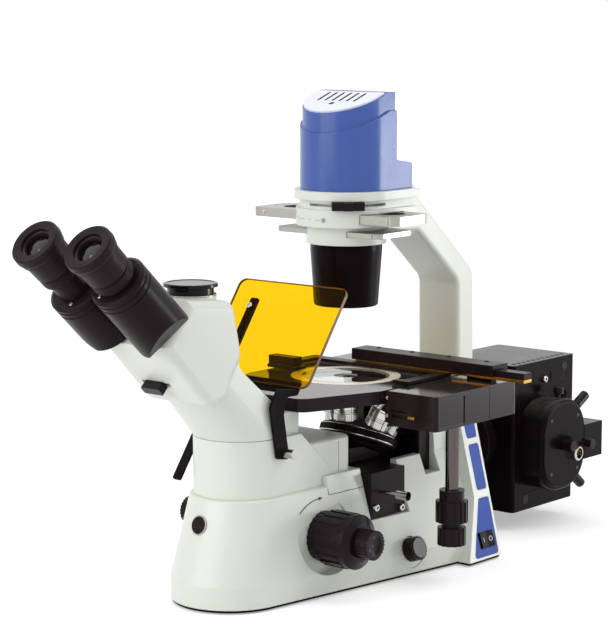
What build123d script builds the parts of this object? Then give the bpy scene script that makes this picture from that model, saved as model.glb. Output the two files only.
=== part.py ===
"""Inverted microscope: white stand, inclined trinocular head, stage, lamp arm and rear lamp box.

Millimetres, +Z up. The origin is where the optical axis meets the bench. -Y is the operator's
side and +X is the operator's right hand.
"""
from build123d import *
from math import acos, atan2, cos, degrees, radians, sin, tan
import os

# Clearances between pieces
RUN = 0.05            # radial play of a shaft in its bore
GAP = 0.3             # free play between pieces that move past each other

# Stand: skirt, shoulder, legs
FOOT_H = 1.5          # rubber foot below the bottom plate
FOOT_R = 12.0
FOOT_FRONT = (34.0, -190.0)
FOOT_REAR = (84.0, 98.0)
PLATE_T = 2.5         # bottom plate
PLATE_INSET = 1.5
BAND_TOP = 25.0       # top of the upright band of the skirt
SHOULDER_Z = 113.0
SKIRT_NOSE_R = 57.5
SKIRT_NOSE_Y = -174.0
SKIRT_REAR_HALF = 96.7
SHOULDER_NOSE_R = 47.5
SHOULDER_NOSE_Y = -158.0
SHOULDER_REAR_HALF = 53.0
STAND_REAR_Y = 126.0
LEG_FOOT_X = 106.5    # outer face of the leg at bench height
LEG_LEAN = 0.325      # inward lean of that face, mm per mm of height
LEG_INNER_X = 30.0
LEG_MID_Z = 64.0
LEG_FRONT = (70.0, 103.0, 114.0)   # front edge at foot, middle and top
LEG_REAR_Y = 124.2    # rear edge at bench height
LEG_REAR_LEAN = 0.097
RIB_HALF = 30.0       # rib under the lamp pillar
RIB_REAR_Y = 184.0

# Tower behind the nosepiece bay
TOWER_TOP_HALF = 47.4
TOWER_FRONT_Y = 56.0
BAY_HALF = 46.5
BAY_REAR_Y = 88.0
WINDOW_REAR_Y = 78.0
WINDOW_LOW_Z = 93.0
WINDOW_HIGH_Z = 138.0
WINDOW_CORNER_R = 10.0
PIT_HALF = 44.0
PIT_FRONT_Y = 17.2
TUNNEL_TOP_Z = 126.0
TUNNEL_FRONT_Y = 66.0
LINER_TOP_Z = 168.0
LINER_T = 3.7
LINING_X = 47.0       # black cheek that lines the window

# Neck, its rear ramp and the post below the stage
NECK_R = 45.0
NECK_FOOT_Z = 104.0   # ledge of the stand that the neck stands on
NECK_FOOT_Y = -91.0   # rear end of that ledge
LEDGE_R = 2.5
NECK_Y = -160.0
SEAM_Z = 160.0
RAMP_TOP_Y = -123.7   # ramp at the seam height
RAMP_SLOPE = 0.905    # height lost per mm towards the rear
POST_HALF = 40.0
POST_FRONT_Y = -146.5
POST_REAR_Y = -121.0

# White housing of the focus guide
GUIDE_HALF = 44.0
GUIDE_FRONT_Y = -116.0
GUIDE_REAR_Y = -46.0
GUIDE_TOP_Z = 148.0

# Inclined head
VIEW_ANGLE = 42.5     # rise of the eye tubes above level
HEAD_TOP_Z = 310.0
HEAD_TOP_R = 33.0
HEAD_REAR_FOOT = (-149.0, SEAM_Z)
HEAD_REAR_MID = (-150.0, 185.0)
HEAD_REAR_UP = (-205.0, 232.0)
HEAD_TOP_REAR = (-211.0, 296.0)
HEAD_TOP_FRONT = (-271.5, 302.0)
BLOCK_HALF = 41.0
BLOCK_REAR = (-199.0, 244.0)
BLOCK_LOW_REAR = (-222.0, 206.0)
BLOCK_LOW_FRONT = (-244.0, 199.0)
BLOCK_EDGE_R = 9.0
FACE_DROP = 39.0      # height of the slanted face that carries the eye tubes
PORT_Y = -228.0
PORT_R = 24.0
PORT_TOP_Z = 301.2
PORT_SINK = 19.2      # root of the port below its rim
PORT_BORE_R = 15.0
PORT_BORE_DEPTH = 24.0
CAP_NECK_R = 21.75
CAP_NECK_H = 6.0
CAP_BRIM_R = 25.5
CAP_BRIM_H = 3.8
CAP_PLUG_H = 10.0
LEVER_X = -8.0        # light path lever
LEVER_Z = 221.0
LEVER_W = 24.0
LEVER_H = 9.0
LEVER_PROUD = 9.0
LEVER_TONGUE = 5.0
LEVER_ROOT = 12.0     # depth of the tongue inside the head
LEVER_TRAVEL = 8.0

# Folding eyepiece tubes
EYE_SPACING = 65.0
EYE_DROP = 18.7       # eye tubes below the folding axis, along the face
FOLD_IN = 13.0
FOLD_OUT = 24.0
FOLD_MARGIN = 0.9
PIVOT_DROP = 19.8     # folding axis below the head's top front edge, along the face
TUBE_R = 27.0
TUBE_LEN = 81.0
TUBE_SHORT = 18.0     # left housing shorter by this much, for its longer diopter neck
TUBE_GROOVE = 1.0
TUBE_CUT_IN = 8.6      # slanted cut at the outer foot of a tube, from its axis
TUBE_CUT_UP = 1.31     # rise of that cut, mm per mm outwards
TUBE_CUT_TURN = 22.7
HUB_R = 16.0
HUB_T = 6.5
HUB_PIN_R = 6.0
COLLAR_R = 20.0
COLLAR_NECK_R = 17.0
COLLAR_RING = 11.5    # ring part of the collar below the eyepiece
COLLAR_LEN = 14.5
EYE_STEM_R = 15.0
EYE_BARREL_R = 21.0
EYE_BARREL_LEN = 20.0
EYECUP_R = 24.2
EYECUP_LEN = 14.0
EYECUP_BRIM = 9.0
EYE_LENS_R = 12.0
EYE_LENS_T = 3.6
EYE_RECESS = 6.0
EYE_RECESS_R = 14.5

# Amber shield and its bracket
SHIELD_W = 136.5
SHIELD_X = -8.3      # centre of the plate across the stand
SHIELD_LOW = (-131.0, 204.5)
SHIELD_LEN = 108.0
SHIELD_LEAN = 35.6
SHIELD_T = 3.5
SHIELD_CORNER_R = 8.0
BAR_T = 2.5
BAR_W = 10.0          # long left bar, across
BAR_X = 46.0          # inner face of the bracket's two sides
BAR_UP = 89.0         # the left bar above and below the plate's lower edge
BAR_DOWN = 111.0
CROSS_W = 12.0
ARM_FOOT = ((-144.5, 138.5), (-162.0, 141.0))    # right arm in the Y-Z plane, foot to bend
ARM_KNEE = ((-152.5, 183.0), (-171.5, 192.0))
ARM_HEAD = ((-146.5, 198.5), (-161.0, 207.5))
PIVOT_Y = -152.5
PIVOT_Z = 146.0
THUMB_R = 4.5
THUMB_LEN = 13.0

# Stage plate and insert
STAGE_Z = 195.0
STAGE_T = 13.0
STAGE_HALF = 84.0
STAGE_FRONT_HALF = 54.0
STAGE_FRONT_Y = -134.0
STAGE_SHOULDER_Y = -50.0
STAGE_REAR_Y = 125.0
STAGE_CORNER_R = 14.0
INSERT_R = 55.0
INSERT_T = 3.0
INSERT_LEDGE = 5.0
STAGE_RELIEF = 12.0
GLASS_R = 44.0
GLASS_T = 1.8
GLASS_HOLE_R = 12.0

# Mechanical stage
DRIVE_W = 58.0
DRIVE_BRACKET = 5.5   # narrow bracket between the stage's edge and the box
DRIVE_FRONT_Y = -46.0
DRIVE_REAR_Y = 87.0
DRIVE_TOP_Z = 195.5
DRIVE_H = 34.0
DRIVE_CORNER_R = 4.0
DRIVE_SLOTS = (((94.0, 122.0), (170.0, 173.5)), ((94.0, 114.0), (175.8, 177.4)))   # spans in X and Z
GUIDE_BAR_X = (-36.0, 141.0)
GUIDE_BAR_Y = (54.0, 80.0)
GUIDE_BAR_Z = (201.2, 212.5)
RAIL_Y = (58.0, 71.0)
RAIL_TOP_Z = 207.8
RAIL_X = (-34.0, 176.0)
RACK_Z = 198.2
RACK_PITCH = 7.0
HOLDER_X = (-88.0, 88.0)
HOLDER_Z = (196.3, 199.5)
HOLDER_BACK_W = 9.0
HOLDER_ARM_W = 12.0
HOLDER_REACH_Y = -12.0
CLAMP_H = 9.0
XY_POST_X = 125.0
XY_POST_Y = 11.0
XY_POST_R = 6.75
XY_PIN_R = 4.0
X_KNOB_TOP = 94.0
X_KNOB_LOW = 62.0
X_KNOB_R = 16.0
X_COLLAR_R = 12.5
X_COLLAR_H = 11.0
Y_KNOB_LOW = 39.0
Y_KNOB_R = 14.0
KNOB_NECK_R = 10.0
KNOB_NECK_H = 5.0

# Nosepiece and objectives
NOSE_TILT = 22.0
SEAT_Z = 150.0        # shoulder height of the objective in use
SEAT_R = 26.0         # circle of the objective seats
SEAT_COUNT = 5
SEAT_SINK = 1.1
TURRET_R = 40.0
TURRET_RIM = 9.0
TURRET_RIM_DROP = 5.0
TURRET_RING = 3.0
TURRET_PIN_R = 6.0
TURRET_PIN_LEN = 14.0
HUB_PAD_R = 22.0
HUB_PAD_T = 7.0
OBJECTIVE_R = 12.0
OBJECTIVE_LENGTHS = {"objective_a": 33.5, "objective_b": 31.0, "objective_c": 27.0, "objective_d": 32.0}
OBJECTIVE_SEATS = {"objective_a": 0, "objective_b": 1, "objective_c": 2, "objective_d": 4}
OBJECTIVE_TIPS = {"objective_a": 7.5, "objective_b": 6.5, "objective_c": 8.5, "objective_d": 5.5}
PLUG_SEAT = 3
PLUG_H = 4.0
CARRIAGE_HALF = 20.0
CARRIAGE_T = 10.0
CARRIAGE_FOOT_Z = 115.0
CARRIAGE_TOP_Z = 143.0
ARM_LOW_Z = 110.6
CARRIAGE_KNEE = (9.0, 126.0)     # behind the guide plate, height
CARRIAGE_CREST = (4.0, 124.0)    # place and height in front of the turret
CARRIAGE_TIP_Y = 28.0
CARRIAGE_TIP_H = 3.0
CARRIAGE_HEEL = 4.0
FOCUS_UP = 7.0
FOCUS_DOWN = 1.0

# Filter box and pull rod
FILTER_X = (-30.0, 63.0)
FILTER_Y = (-39.3, 16.5)
FILTER_Z = (62.5, 108.6)
FILTER_ROD_R = 1.7
FILTER_ROD_Y = -24.0
FILTER_ROD_Z = 89.0
FILTER_ROD_OUT = 24.0
FILTER_KNOB_R = 4.5
FILTER_KNOB_LEN = 13.0
FILTER_ROD_IN = 40.0

# Focus controls
FOCUS_Y = -103.0
FOCUS_Z = 58.0
FOCUS_FLOOR_X = 55.0  # flat pocket that the knobs stand on
FOCUS_POCKET_R = 37.0
COARSE_SHAFT_R = 7.0
FINE_SHAFT_R = 3.0
TENSION_R = 24.5
TENSION_LEN = 11.0
COARSE_R = 27.2
COARSE_LEN = 33.0
COARSE_NOSE = 4.0
COARSE_RIBS = 18
FINE_R = 14.3
FINE_LEN = 16.0
FINE_RIBS = 24
FINE_DISH_R = 10.0

# Brightness dial and rocker switch
DIAL_Y = 5.0
DIAL_Z = 27.5
DIAL_R = 12.0
DIAL_LEN = 12.0
DIAL_SEAT = 2.0
DIAL_PIN_R = 3.0
DIAL_PIN_LEN = 8.0
SWITCH_Y = 106.0
SWITCH_Z = 22.0
SWITCH_L = 20.6
SWITCH_W = 15.6
SWITCH_DEPTH = 6.0
SWITCH_PROUD = 2.6
SWITCH_TILT = 7.0
SWITCH_ROOM = 3.0     # pocket longer than the rocker by this much, so that it can tip
POCKET_DEPTH = 10.0

# Blue panels let into the legs: lists of (height, front edge, rear edge)
PANEL_T = 1.2
PANEL_POCKET = 1.5
PANEL_PLAY = 0.15
PANELS = (
    ((6.5, 80.0, 121.0), (62.0, 109.5, 127.0)),
    ((70.0, 110.8, 127.4), (115.0, 114.6, 131.5)),
    ((121.0, 115.2, 132.0), (160.0, 117.0, 135.5)),
)

# Lamp pillar and arm, in the Y-Z plane
ARM_HALF = 26.5
ARM_EDGE_R = 5.0
PILLAR_FRONT_Y = 154.0
PILLAR_REAR_Y = 183.5
BEND_INNER_Z = 278.0
BEND_OUTER_Z = 287.5
ARM_START_Y = 30.0
ARM_TOP_Y = 80.0
ARM_LOW_Y = 84.0
ARM_LOW_Z2 = 336.0

# Lamp head on the optical axis
RING_Z = 329.5
RING_R = 40.0
DRUM_Z = 347.8
DRUM_R = 50.0
WAIST_Z = 365.3
WAIST_R = 46.5
FLANGE_Z = 374.2
FLANGE_R = 52.0
COVER_Z = 383.0
COVER_R = 46.0
COLLAR_REAR_Y = 52.0
COVER_REAR_Y = 47.0
COVER_LEDGE_Z = 408.0
COVER_UPPER_REAR_Y = 22.0
COVER_FRONT_TOP_Z = 457.0
COVER_SLOPE = 20.0
COVER_TOP_Z = 478.8    # level rear end of the cap
COVER_STEP_DROP = 18.0
COVER_STEP = 2.4
VENT_T = 2.0
VENT_INSET = 1.5
VENT_REAR_Y = 9.0     # rear edge of the vent plate, along the slope
VENT_SLOTS = 6
SLOT_W = 3.4
SLOT_PITCH = 9.0
CONDENSER_TOP_R = 36.0
CONDENSER_LOW_R = 32.0
CONDENSER_LOW_Z = 267.0
CONDENSER_WALL = 3.0
CONDENSER_LENS_R = 24.0
CONDENSER_LENS_T = 8.0
LED_R = 20.0
LED_T = 8.0
IRIS_ANGLE = -49.0
IRIS_SWING = 28.0
IRIS_LEN = 32.0
IRIS_H = 8.0
IRIS_REACH = 56.0
IRIS_ROOT_R = 40.0
IRIS_ROOT_T = 2.0     # the root that runs in the collar's slot
IRIS_GRIP = 9.0       # raised middle of the lever
SLIDER_X = (-100.0, 83.0)
SLIDER_W = 58.0
SLIDER_END_R = 10.0
SLIDER_T = 9.0
SLIDER_Z = 352.0
SLIDER_TRAVEL = 28.0
LOWER_X = (-68.0, 64.0)
LOWER_W = 61.0
LOWER_T = 5.0
LOWER_Z = 338.5
LOWER_TRAVEL = 22.0
LIGHT_BORE_R = 14.0

# Rear lamp box
EPI_Z = 98.0          # height of the rear light path
BOX_HALF = 51.0
BOX_Y = (222.0, 337.0)
BOX_Z = (21.0, 181.0)
BOX_EDGE_R = 4.0
VENT_HOLES = 11
VENT_HOLE_R = 1.5
FLANGE_BIG_R = 38.0
FLANGE_SMALL_R = 29.0
FLANGE_DISC_T = 12.0
COVER_W = 84.0
COVER_H = 98.0
COVER_ROUND = 36.0
COVER_DROP = 5.5      # cover's middle below the light path
COVER_PROUD = 29.0
COVER_Y = 273.0
LID_T = 2.5
LID_INSET = 4.0
TAIL_SIZE = (28.0, 31.0, 38.0)
TAIL_DROP = 8.0
CRANK_HUB_R = 6.0
CRANK_HUB_LEN = 13.0
CRANK_REACH = 24.0
CRANK_GRIP_R = 5.0
CRANK_GRIP_LEN = 13.0
CRANK_DY = -2.0
CRANK_DZ = -5.0
SOCKET_R = 8.0
SOCKET_LEN = 7.0
SOCKET_DY = 19.0
SOCKET_DZ = -17.0
CENTRING_NECK_R = 2.5
CENTRING_R = 5.5
CENTRING_PLACES = ((8.0, 3.0, 8.0), (62.0, 9.0, 22.0), (128.0, 9.0, 22.0))   # angle, neck, grip
COUPLING_SCREW = (45.0, 5.0, 14.0)

# Worked-out values
CASTING_Z = FOOT_H + PLATE_T
STAGE_LOW_Z = STAGE_Z - STAGE_T
LEG_TOP_Z = STAGE_LOW_Z
EYE_AXIS = (0.0, -cos(radians(VIEW_ANGLE)), sin(radians(VIEW_ANGLE)))
EYE_UP = (0.0, sin(radians(VIEW_ANGLE)), cos(radians(VIEW_ANGLE)))
NOSE_AXIS = (0.0, sin(radians(NOSE_TILT)), cos(radians(NOSE_TILT)))
NOSE_DOWN = (0.0, cos(radians(NOSE_TILT)), -sin(radians(NOSE_TILT)))
LEG_ANGLE = degrees(atan2(LEG_LEAN, 1.0))
NOSE_CENTRE = tuple(b + SEAT_R * d for b, d in zip((0.0, 0.0, SEAT_Z), NOSE_DOWN))


def block(x_span, y_span, z_span):
    """Box between two corners, given as three (low, high) pairs."""
    sizes = [high - low for low, high in (x_span, y_span, z_span)]
    middle = [(high + low) / 2 for low, high in (x_span, y_span, z_span)]
    return Pos(*middle) * Box(*sizes)


def rod(radius, length, start, direction):
    """Round bar of a given length from a start point."""
    base = Plane(origin=start, z_dir=direction)
    return base * Cylinder(radius, length, align=(Align.CENTER, Align.CENTER, Align.MIN))


def turned(profile, plane=Plane.XY):
    """Solid of revolution about a plane's normal, from (radius, height) corners."""
    section = make_face(Plane.XZ * Polyline(*profile, close=True))
    return plane * revolve(section, axis=Axis.Z)


def side_cut(points, x_span, radii=None):
    """Prism along X of a Y-Z outline, with its corners rounded where radii are given."""
    outline = make_face(Polyline(*points, close=True))
    for index, radius in (radii or {}).items():
        corner = outline.vertices().sort_by_distance((*points[index], 0))[0]
        outline = fillet(corner, radius)
    prism = extrude(Plane.YZ * outline, x_span[1] - x_span[0], dir=(1, 0, 0))
    return Pos(x_span[0], 0, 0) * prism


def nose_outline(radius, centre_y, rear_half, rear_y):
    """Plan with a round front and straight sides that run tangent to the rear corners."""
    reach = ((rear_y - centre_y) ** 2 + rear_half ** 2) ** 0.5
    turn = atan2(rear_y - centre_y, rear_half) - acos(radius / reach)
    side = (radius * cos(turn), centre_y + radius * sin(turn))
    other = (-side[0], side[1])
    front = ThreePointArc(other, (0, centre_y - radius), side)
    rest = Polyline(side, (rear_half, rear_y), (-rear_half, rear_y), other)
    return make_face([front, *rest.edges()])


def ribbed(radius, z_span, ribs, depth, width):
    """Upright grip with straight flutes round it."""
    low, high = z_span
    grip = Pos(0, 0, low) * Cylinder(radius, high - low, align=(Align.CENTER, Align.CENTER, Align.MIN))
    flute = Pos(radius, 0, (low + high) / 2) * Box(2 * depth, width, high - low)
    return grip - [Rot(0, 0, 360 * k / ribs) * flute for k in range(ribs)]


def both_sides(shape):
    """A shape and its mirror image across the stand's middle plane."""
    return [shape, mirror(shape, about=Plane.YZ)]


def leg_plane(y, z):
    """Plane on the outer face of the right leg, local x rearwards and local y up the slope."""
    lean = radians(LEG_ANGLE)
    return Plane(origin=(LEG_FOOT_X - LEG_LEAN * z, y, z), x_dir=(0, 1, 0), z_dir=(cos(lean), 0, sin(lean)))


def panel_face(rows, play):
    """Four-cornered outline of a leg panel in the leg's plane, from (height, front, rear) rows."""
    slope = cos(radians(LEG_ANGLE))
    (low, low_front, low_rear), (high, high_front, high_rear) = rows
    corners = [(low_front - play, low / slope - play), (low_rear + play, low / slope - play),
               (high_rear + play, high / slope + play), (high_front - play, high / slope + play)]
    outline = make_face(Polyline(*corners, close=True))
    return fillet(outline.vertices(), 3.0)


def legs():
    """The two flared rear legs, wide at the bench and narrow below the stage."""
    sections = []
    for z, front in zip((CASTING_Z, LEG_MID_Z, LEG_TOP_Z), LEG_FRONT):
        outer = LEG_FOOT_X - LEG_LEAN * z
        rear = LEG_REAR_Y + LEG_REAR_LEAN * z
        corners = [(LEG_INNER_X, front), (outer, front), (outer, rear), (LEG_INNER_X, rear)]
        sections.append(Pos(0, 0, z) * make_face(Polyline(*corners, close=True)))
    return both_sides(loft(sections, ruled=True))


def skirt_half_at(y, z):
    """Half width of the skirt's side wall at a place along the stand and a height."""
    def wall(radius, centre_y, rear_half):
        reach = ((STAND_REAR_Y - centre_y) ** 2 + rear_half ** 2) ** 0.5
        turn = atan2(STAND_REAR_Y - centre_y, rear_half) - acos(radius / reach)
        start = (radius * cos(turn), centre_y + radius * sin(turn))
        share = (y - start[1]) / (STAND_REAR_Y - start[1])
        return start[0] + share * (rear_half - start[0])
    low = wall(SKIRT_NOSE_R, SKIRT_NOSE_Y, SKIRT_REAR_HALF)
    high = wall(SHOULDER_NOSE_R, SHOULDER_NOSE_Y, SHOULDER_REAR_HALF)
    return low + (high - low) * (z - BAND_TOP) / (SHOULDER_Z - BAND_TOP)


def dial_plane():
    """Plane of the brightness dial, square to the side wall of the skirt."""
    x = skirt_half_at(DIAL_Y, DIAL_Z)
    rise = skirt_half_at(DIAL_Y, BAND_TOP) - skirt_half_at(DIAL_Y, SHOULDER_Z)
    tilt = atan2(rise, SHOULDER_Z - BAND_TOP)
    return Plane(origin=(x, DIAL_Y, DIAL_Z), x_dir=(0, 1, 0), z_dir=(cos(tilt), 0, sin(tilt)))


def base_casting():
    """White stand: skirt, legs, tower and the pockets for what it carries."""
    skirt_plan = nose_outline(SKIRT_NOSE_R, SKIRT_NOSE_Y, SKIRT_REAR_HALF, STAND_REAR_Y)
    shoulder_plan = nose_outline(SHOULDER_NOSE_R, SHOULDER_NOSE_Y, SHOULDER_REAR_HALF, STAND_REAR_Y)
    body = extrude(Pos(0, 0, CASTING_Z) * skirt_plan, BAND_TOP - CASTING_Z)
    body += loft([Pos(0, 0, BAND_TOP) * skirt_plan, Pos(0, 0, SHOULDER_Z) * shoulder_plan], ruled=True)
    tower_low = Pos(0, 0, SHOULDER_Z) * make_face(Polyline(
        (-SHOULDER_REAR_HALF, TOWER_FRONT_Y), (SHOULDER_REAR_HALF, TOWER_FRONT_Y),
        (SHOULDER_REAR_HALF, STAND_REAR_Y), (-SHOULDER_REAR_HALF, STAND_REAR_Y), close=True))
    tower_high = Pos(0, 0, STAGE_LOW_Z) * make_face(Polyline(
        (-TOWER_TOP_HALF, TOWER_FRONT_Y), (TOWER_TOP_HALF, TOWER_FRONT_Y),
        (TOWER_TOP_HALF, STAND_REAR_Y), (-TOWER_TOP_HALF, STAND_REAR_Y), close=True))
    ahead = 2 * (SKIRT_NOSE_R - SKIRT_NOSE_Y)
    body -= block((-ahead, ahead), (-ahead, NECK_FOOT_Y), (NECK_FOOT_Z, SHOULDER_Z + 1))
    ledge = body.faces().filter_by(Axis.Z).sort_by_distance((0, NECK_Y, NECK_FOOT_Z))[0]
    body = fillet(ledge.edges().filter_by(lambda edge: edge.center().Y < NECK_FOOT_Y - 1), LEDGE_R)
    body += loft([tower_low, tower_high], ruled=True)
    body += legs()
    body += block((-RIB_HALF, RIB_HALF), (BAY_REAR_Y, RIB_REAR_Y), (CASTING_Z, STAGE_LOW_Z))

    far = LEG_FOOT_X
    top = STAGE_LOW_Z + 1
    body -= block((-BAY_HALF + 2.5, BAY_HALF - 2.5), (TOWER_FRONT_Y - 1, BAY_REAR_Y), (SHOULDER_Z, top))
    body -= block((-PIT_HALF, PIT_HALF), (PIT_FRONT_Y - 1, BAY_REAR_Y), (WINDOW_LOW_Z, SHOULDER_Z + 1))
    window = [(TOWER_FRONT_Y - 1, WINDOW_LOW_Z), (WINDOW_REAR_Y, WINDOW_LOW_Z),
              (WINDOW_REAR_Y, WINDOW_HIGH_Z), (TOWER_FRONT_Y - 1, WINDOW_HIGH_Z)]
    body -= side_cut(window, (PIT_HALF - 1, far), {2: WINDOW_CORNER_R})
    body -= block((FILTER_X[0] - GAP, far), (FILTER_Y[0] - GAP, FILTER_Y[1] + GAP),
                  (FILTER_Z[0], SHOULDER_Z + 1))
    for side in (-1, 1):
        body -= rod(FOCUS_POCKET_R, far, (side * FOCUS_FLOOR_X, FOCUS_Y, FOCUS_Z), (side, 0, 0))
    body -= rod(COARSE_SHAFT_R + RUN, 2 * far, (-far, FOCUS_Y, FOCUS_Z), (1, 0, 0))
    dial = dial_plane()
    body -= dial * Pos(0, 0, 5.0 - DIAL_SEAT) * Cylinder(DIAL_R + 1.5, 10)
    body -= dial * Pos(0, 0, -DIAL_PIN_LEN / 2) * Cylinder(DIAL_PIN_R + RUN, DIAL_PIN_LEN + 2 * DIAL_SEAT)
    foot = leg_plane(0, 0)
    for rows in PANELS:
        pocket = extrude(foot * panel_face(rows, PANEL_PLAY), PANEL_POCKET, dir=tuple(-foot.z_dir))
        body -= both_sides(pocket)
    body -= leg_plane(SWITCH_Y, SWITCH_Z) * Box(SWITCH_L + SWITCH_ROOM, SWITCH_W + 0.8, 2 * POCKET_DEPTH)
    return body


def bottom_plate():
    """Black sheet that closes the stand from below."""
    plan = nose_outline(SKIRT_NOSE_R - PLATE_INSET, SKIRT_NOSE_Y, SKIRT_REAR_HALF - PLATE_INSET,
                        STAND_REAR_Y - PLATE_INSET)
    outer = LEG_FOOT_X - LEG_LEAN * CASTING_Z - PLATE_INSET
    wings = Pos(0, (LEG_FRONT[0] + LEG_REAR_Y) / 2) * Rectangle(
        2 * outer, LEG_REAR_Y - LEG_FRONT[0] - 2 * PLATE_INSET)
    tail = Pos(0, (BAY_REAR_Y + RIB_REAR_Y) / 2) * Rectangle(
        2 * (RIB_HALF - PLATE_INSET), RIB_REAR_Y - BAY_REAR_Y - 2 * PLATE_INSET)
    return extrude(Pos(0, 0, FOOT_H) * (plan + wings + tail), PLATE_T, dir=(0, 0, 1))


def rubber_feet():
    """Four round feet under the bottom plate."""
    places = [(side * x, y) for x, y in (FOOT_FRONT, FOOT_REAR) for side in (-1, 1)]
    return [rod(FOOT_R, FOOT_H, (x, y, 0), (0, 0, 1)) for x, y in places]


def neck_cover():
    """Neck between the shoulder and the head, with its ramp and the post under the stage."""
    rear = RAMP_TOP_Y + (SEAM_Z - SHOULDER_Z) / RAMP_SLOPE
    plan = nose_outline(NECK_R, NECK_Y, NECK_R, rear)
    neck = extrude(Pos(0, 0, SHOULDER_Z) * plan, SEAM_Z - SHOULDER_Z)
    foot = nose_outline(NECK_R, NECK_Y, NECK_R, NECK_FOOT_Y - GAP)
    neck += extrude(Pos(0, 0, NECK_FOOT_Z) * foot, SHOULDER_Z - NECK_FOOT_Z)
    spare = NECK_R + 1
    ramp = [(RAMP_TOP_Y, SEAM_Z), (rear + 1, SEAM_Z), (rear + 1, SHOULDER_Z), (rear, SHOULDER_Z)]
    neck -= side_cut(ramp, (-spare, spare))
    foot_z = SEAM_Z - RAMP_SLOPE * (POST_REAR_Y - RAMP_TOP_Y) - 1
    neck += block((-POST_HALF, POST_HALF), (POST_FRONT_Y, POST_REAR_Y), (foot_z, STAGE_LOW_Z))
    for side in (-1, 1):
        neck -= rod(THUMB_R / 2, 12, (side * (NECK_R + 1), PIVOT_Y, PIVOT_Z), (-side, 0, 0))
    return neck


def focus_guide():
    """White housing behind the neck, which holds the vertical slide of the nosepiece."""
    body = block((-GUIDE_HALF, GUIDE_HALF), (GUIDE_FRONT_Y, GUIDE_REAR_Y), (SHOULDER_Z, GUIDE_TOP_Z))
    body = fillet(body.edges().filter_by(Axis.Z), 7.0)
    body = fillet(body.faces().sort_by(Axis.Z)[-1].edges(), 4.0)
    ramp_y = RAMP_TOP_Y + (SEAM_Z - SHOULDER_Z) / RAMP_SLOPE
    clear = GUIDE_HALF + 1
    front = [(GUIDE_FRONT_Y - 1, SHOULDER_Z - 1), (ramp_y + GAP, SHOULDER_Z - 1),
             (ramp_y + GAP, SHOULDER_Z),
             (GUIDE_FRONT_Y - 1, SHOULDER_Z + RAMP_SLOPE * (ramp_y + GAP - GUIDE_FRONT_Y + 1))]
    return body - side_cut(front, (-clear, clear))


def head_outline():
    """Side view of the head: seam, rear, top and the slanted front face."""
    run = (HEAD_TOP_FRONT[1] - SEAM_Z) * tan(radians(VIEW_ANGLE))
    return [(HEAD_TOP_FRONT[0] - run, SEAM_Z), HEAD_REAR_FOOT, HEAD_REAR_MID, HEAD_REAR_UP,
            HEAD_TOP_REAR, HEAD_TOP_FRONT]


def pivot_plane():
    """Plane at the head's front face on the folding axis: x across, y up the face, z outwards."""
    origin = [a - PIVOT_DROP * b for a, b in zip((0.0, *HEAD_TOP_FRONT), EYE_UP)]
    return Plane(origin=tuple(origin), x_dir=(1, 0, 0), z_dir=EYE_AXIS)


def block_front_low():
    """Lower front corner of the prism block's slanted face."""
    return (HEAD_TOP_FRONT[0] - FACE_DROP * tan(radians(VIEW_ANGLE)), HEAD_TOP_FRONT[1] - FACE_DROP)


def lever_plane():
    """Plane on the block's under face at the lever: x across, z out of the face."""
    (low_y, low_z), (high_y, high_z) = BLOCK_LOW_FRONT, block_front_low()
    share = (LEVER_Z - low_z) / (high_z - low_z)
    spot = (LEVER_X, low_y + share * (high_y - low_y), LEVER_Z)
    return Plane(origin=spot, x_dir=(1, 0, 0), z_dir=(0, low_z - high_z, high_y - low_y))


def observation_head():
    """White inclined head with the prism block, the camera port and the folding spindle."""
    low = Pos(0, 0, SEAM_Z) * nose_outline(NECK_R, NECK_Y, NECK_R, NECK_Y + 80)
    shift = NECK_Y - (HEAD_TOP_Z - SEAM_Z)
    high = Pos(0, 0, HEAD_TOP_Z) * nose_outline(HEAD_TOP_R, shift, HEAD_TOP_R, shift + 130)
    tube = loft([low, high], ruled=True)
    spare = 2 * NECK_R
    head = tube & side_cut(head_outline(), (-spare, spare), {2: 30.0, 3: 18.0, 4: 12.0})
    block_line = [HEAD_TOP_REAR, BLOCK_REAR, BLOCK_LOW_REAR, BLOCK_LOW_FRONT,
                  block_front_low(), HEAD_TOP_FRONT]
    prism = side_cut(block_line, (-BLOCK_HALF, BLOCK_HALF), {0: 12.0, 1: 14.0, 2: 16.0, 3: 14.0})
    prism = fillet(prism.faces().filter_by(Axis.X).edges(), BLOCK_EDGE_R)
    head = head + prism
    port_low = PORT_TOP_Z - PORT_SINK
    head += rod(PORT_R, PORT_TOP_Z - port_low, (0, PORT_Y, port_low), (0, 0, 1))
    head -= rod(PORT_BORE_R, PORT_BORE_DEPTH, (0, PORT_Y, PORT_TOP_Z - PORT_BORE_DEPTH), (0, 0, 1))
    spindle = pivot_plane() * Cylinder(HUB_PIN_R, 2 * HUB_T + 2 * GAP + 4,
                                       align=(Align.CENTER, Align.CENTER, Align.MIN))
    head += spindle
    room = LEVER_W / 2 - 3 + LEVER_TRAVEL + GAP
    head -= lever_plane() * Box(2 * room, LEVER_TONGUE + 2 * GAP, 2 * (LEVER_ROOT + GAP))
    return head


def dust_cap():
    """Black cap with a plug that closes the camera port."""
    profile = [(0, -CAP_PLUG_H), (PORT_BORE_R - RUN, -CAP_PLUG_H), (PORT_BORE_R - RUN, 0), (CAP_NECK_R, 0),
               (CAP_NECK_R, CAP_NECK_H), (CAP_BRIM_R, CAP_NECK_H + 1),
               (CAP_BRIM_R, CAP_NECK_H + CAP_BRIM_H),
               (0, CAP_NECK_H + CAP_BRIM_H)]
    return turned(profile, Plane((0, PORT_Y, PORT_TOP_Z)))


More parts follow.
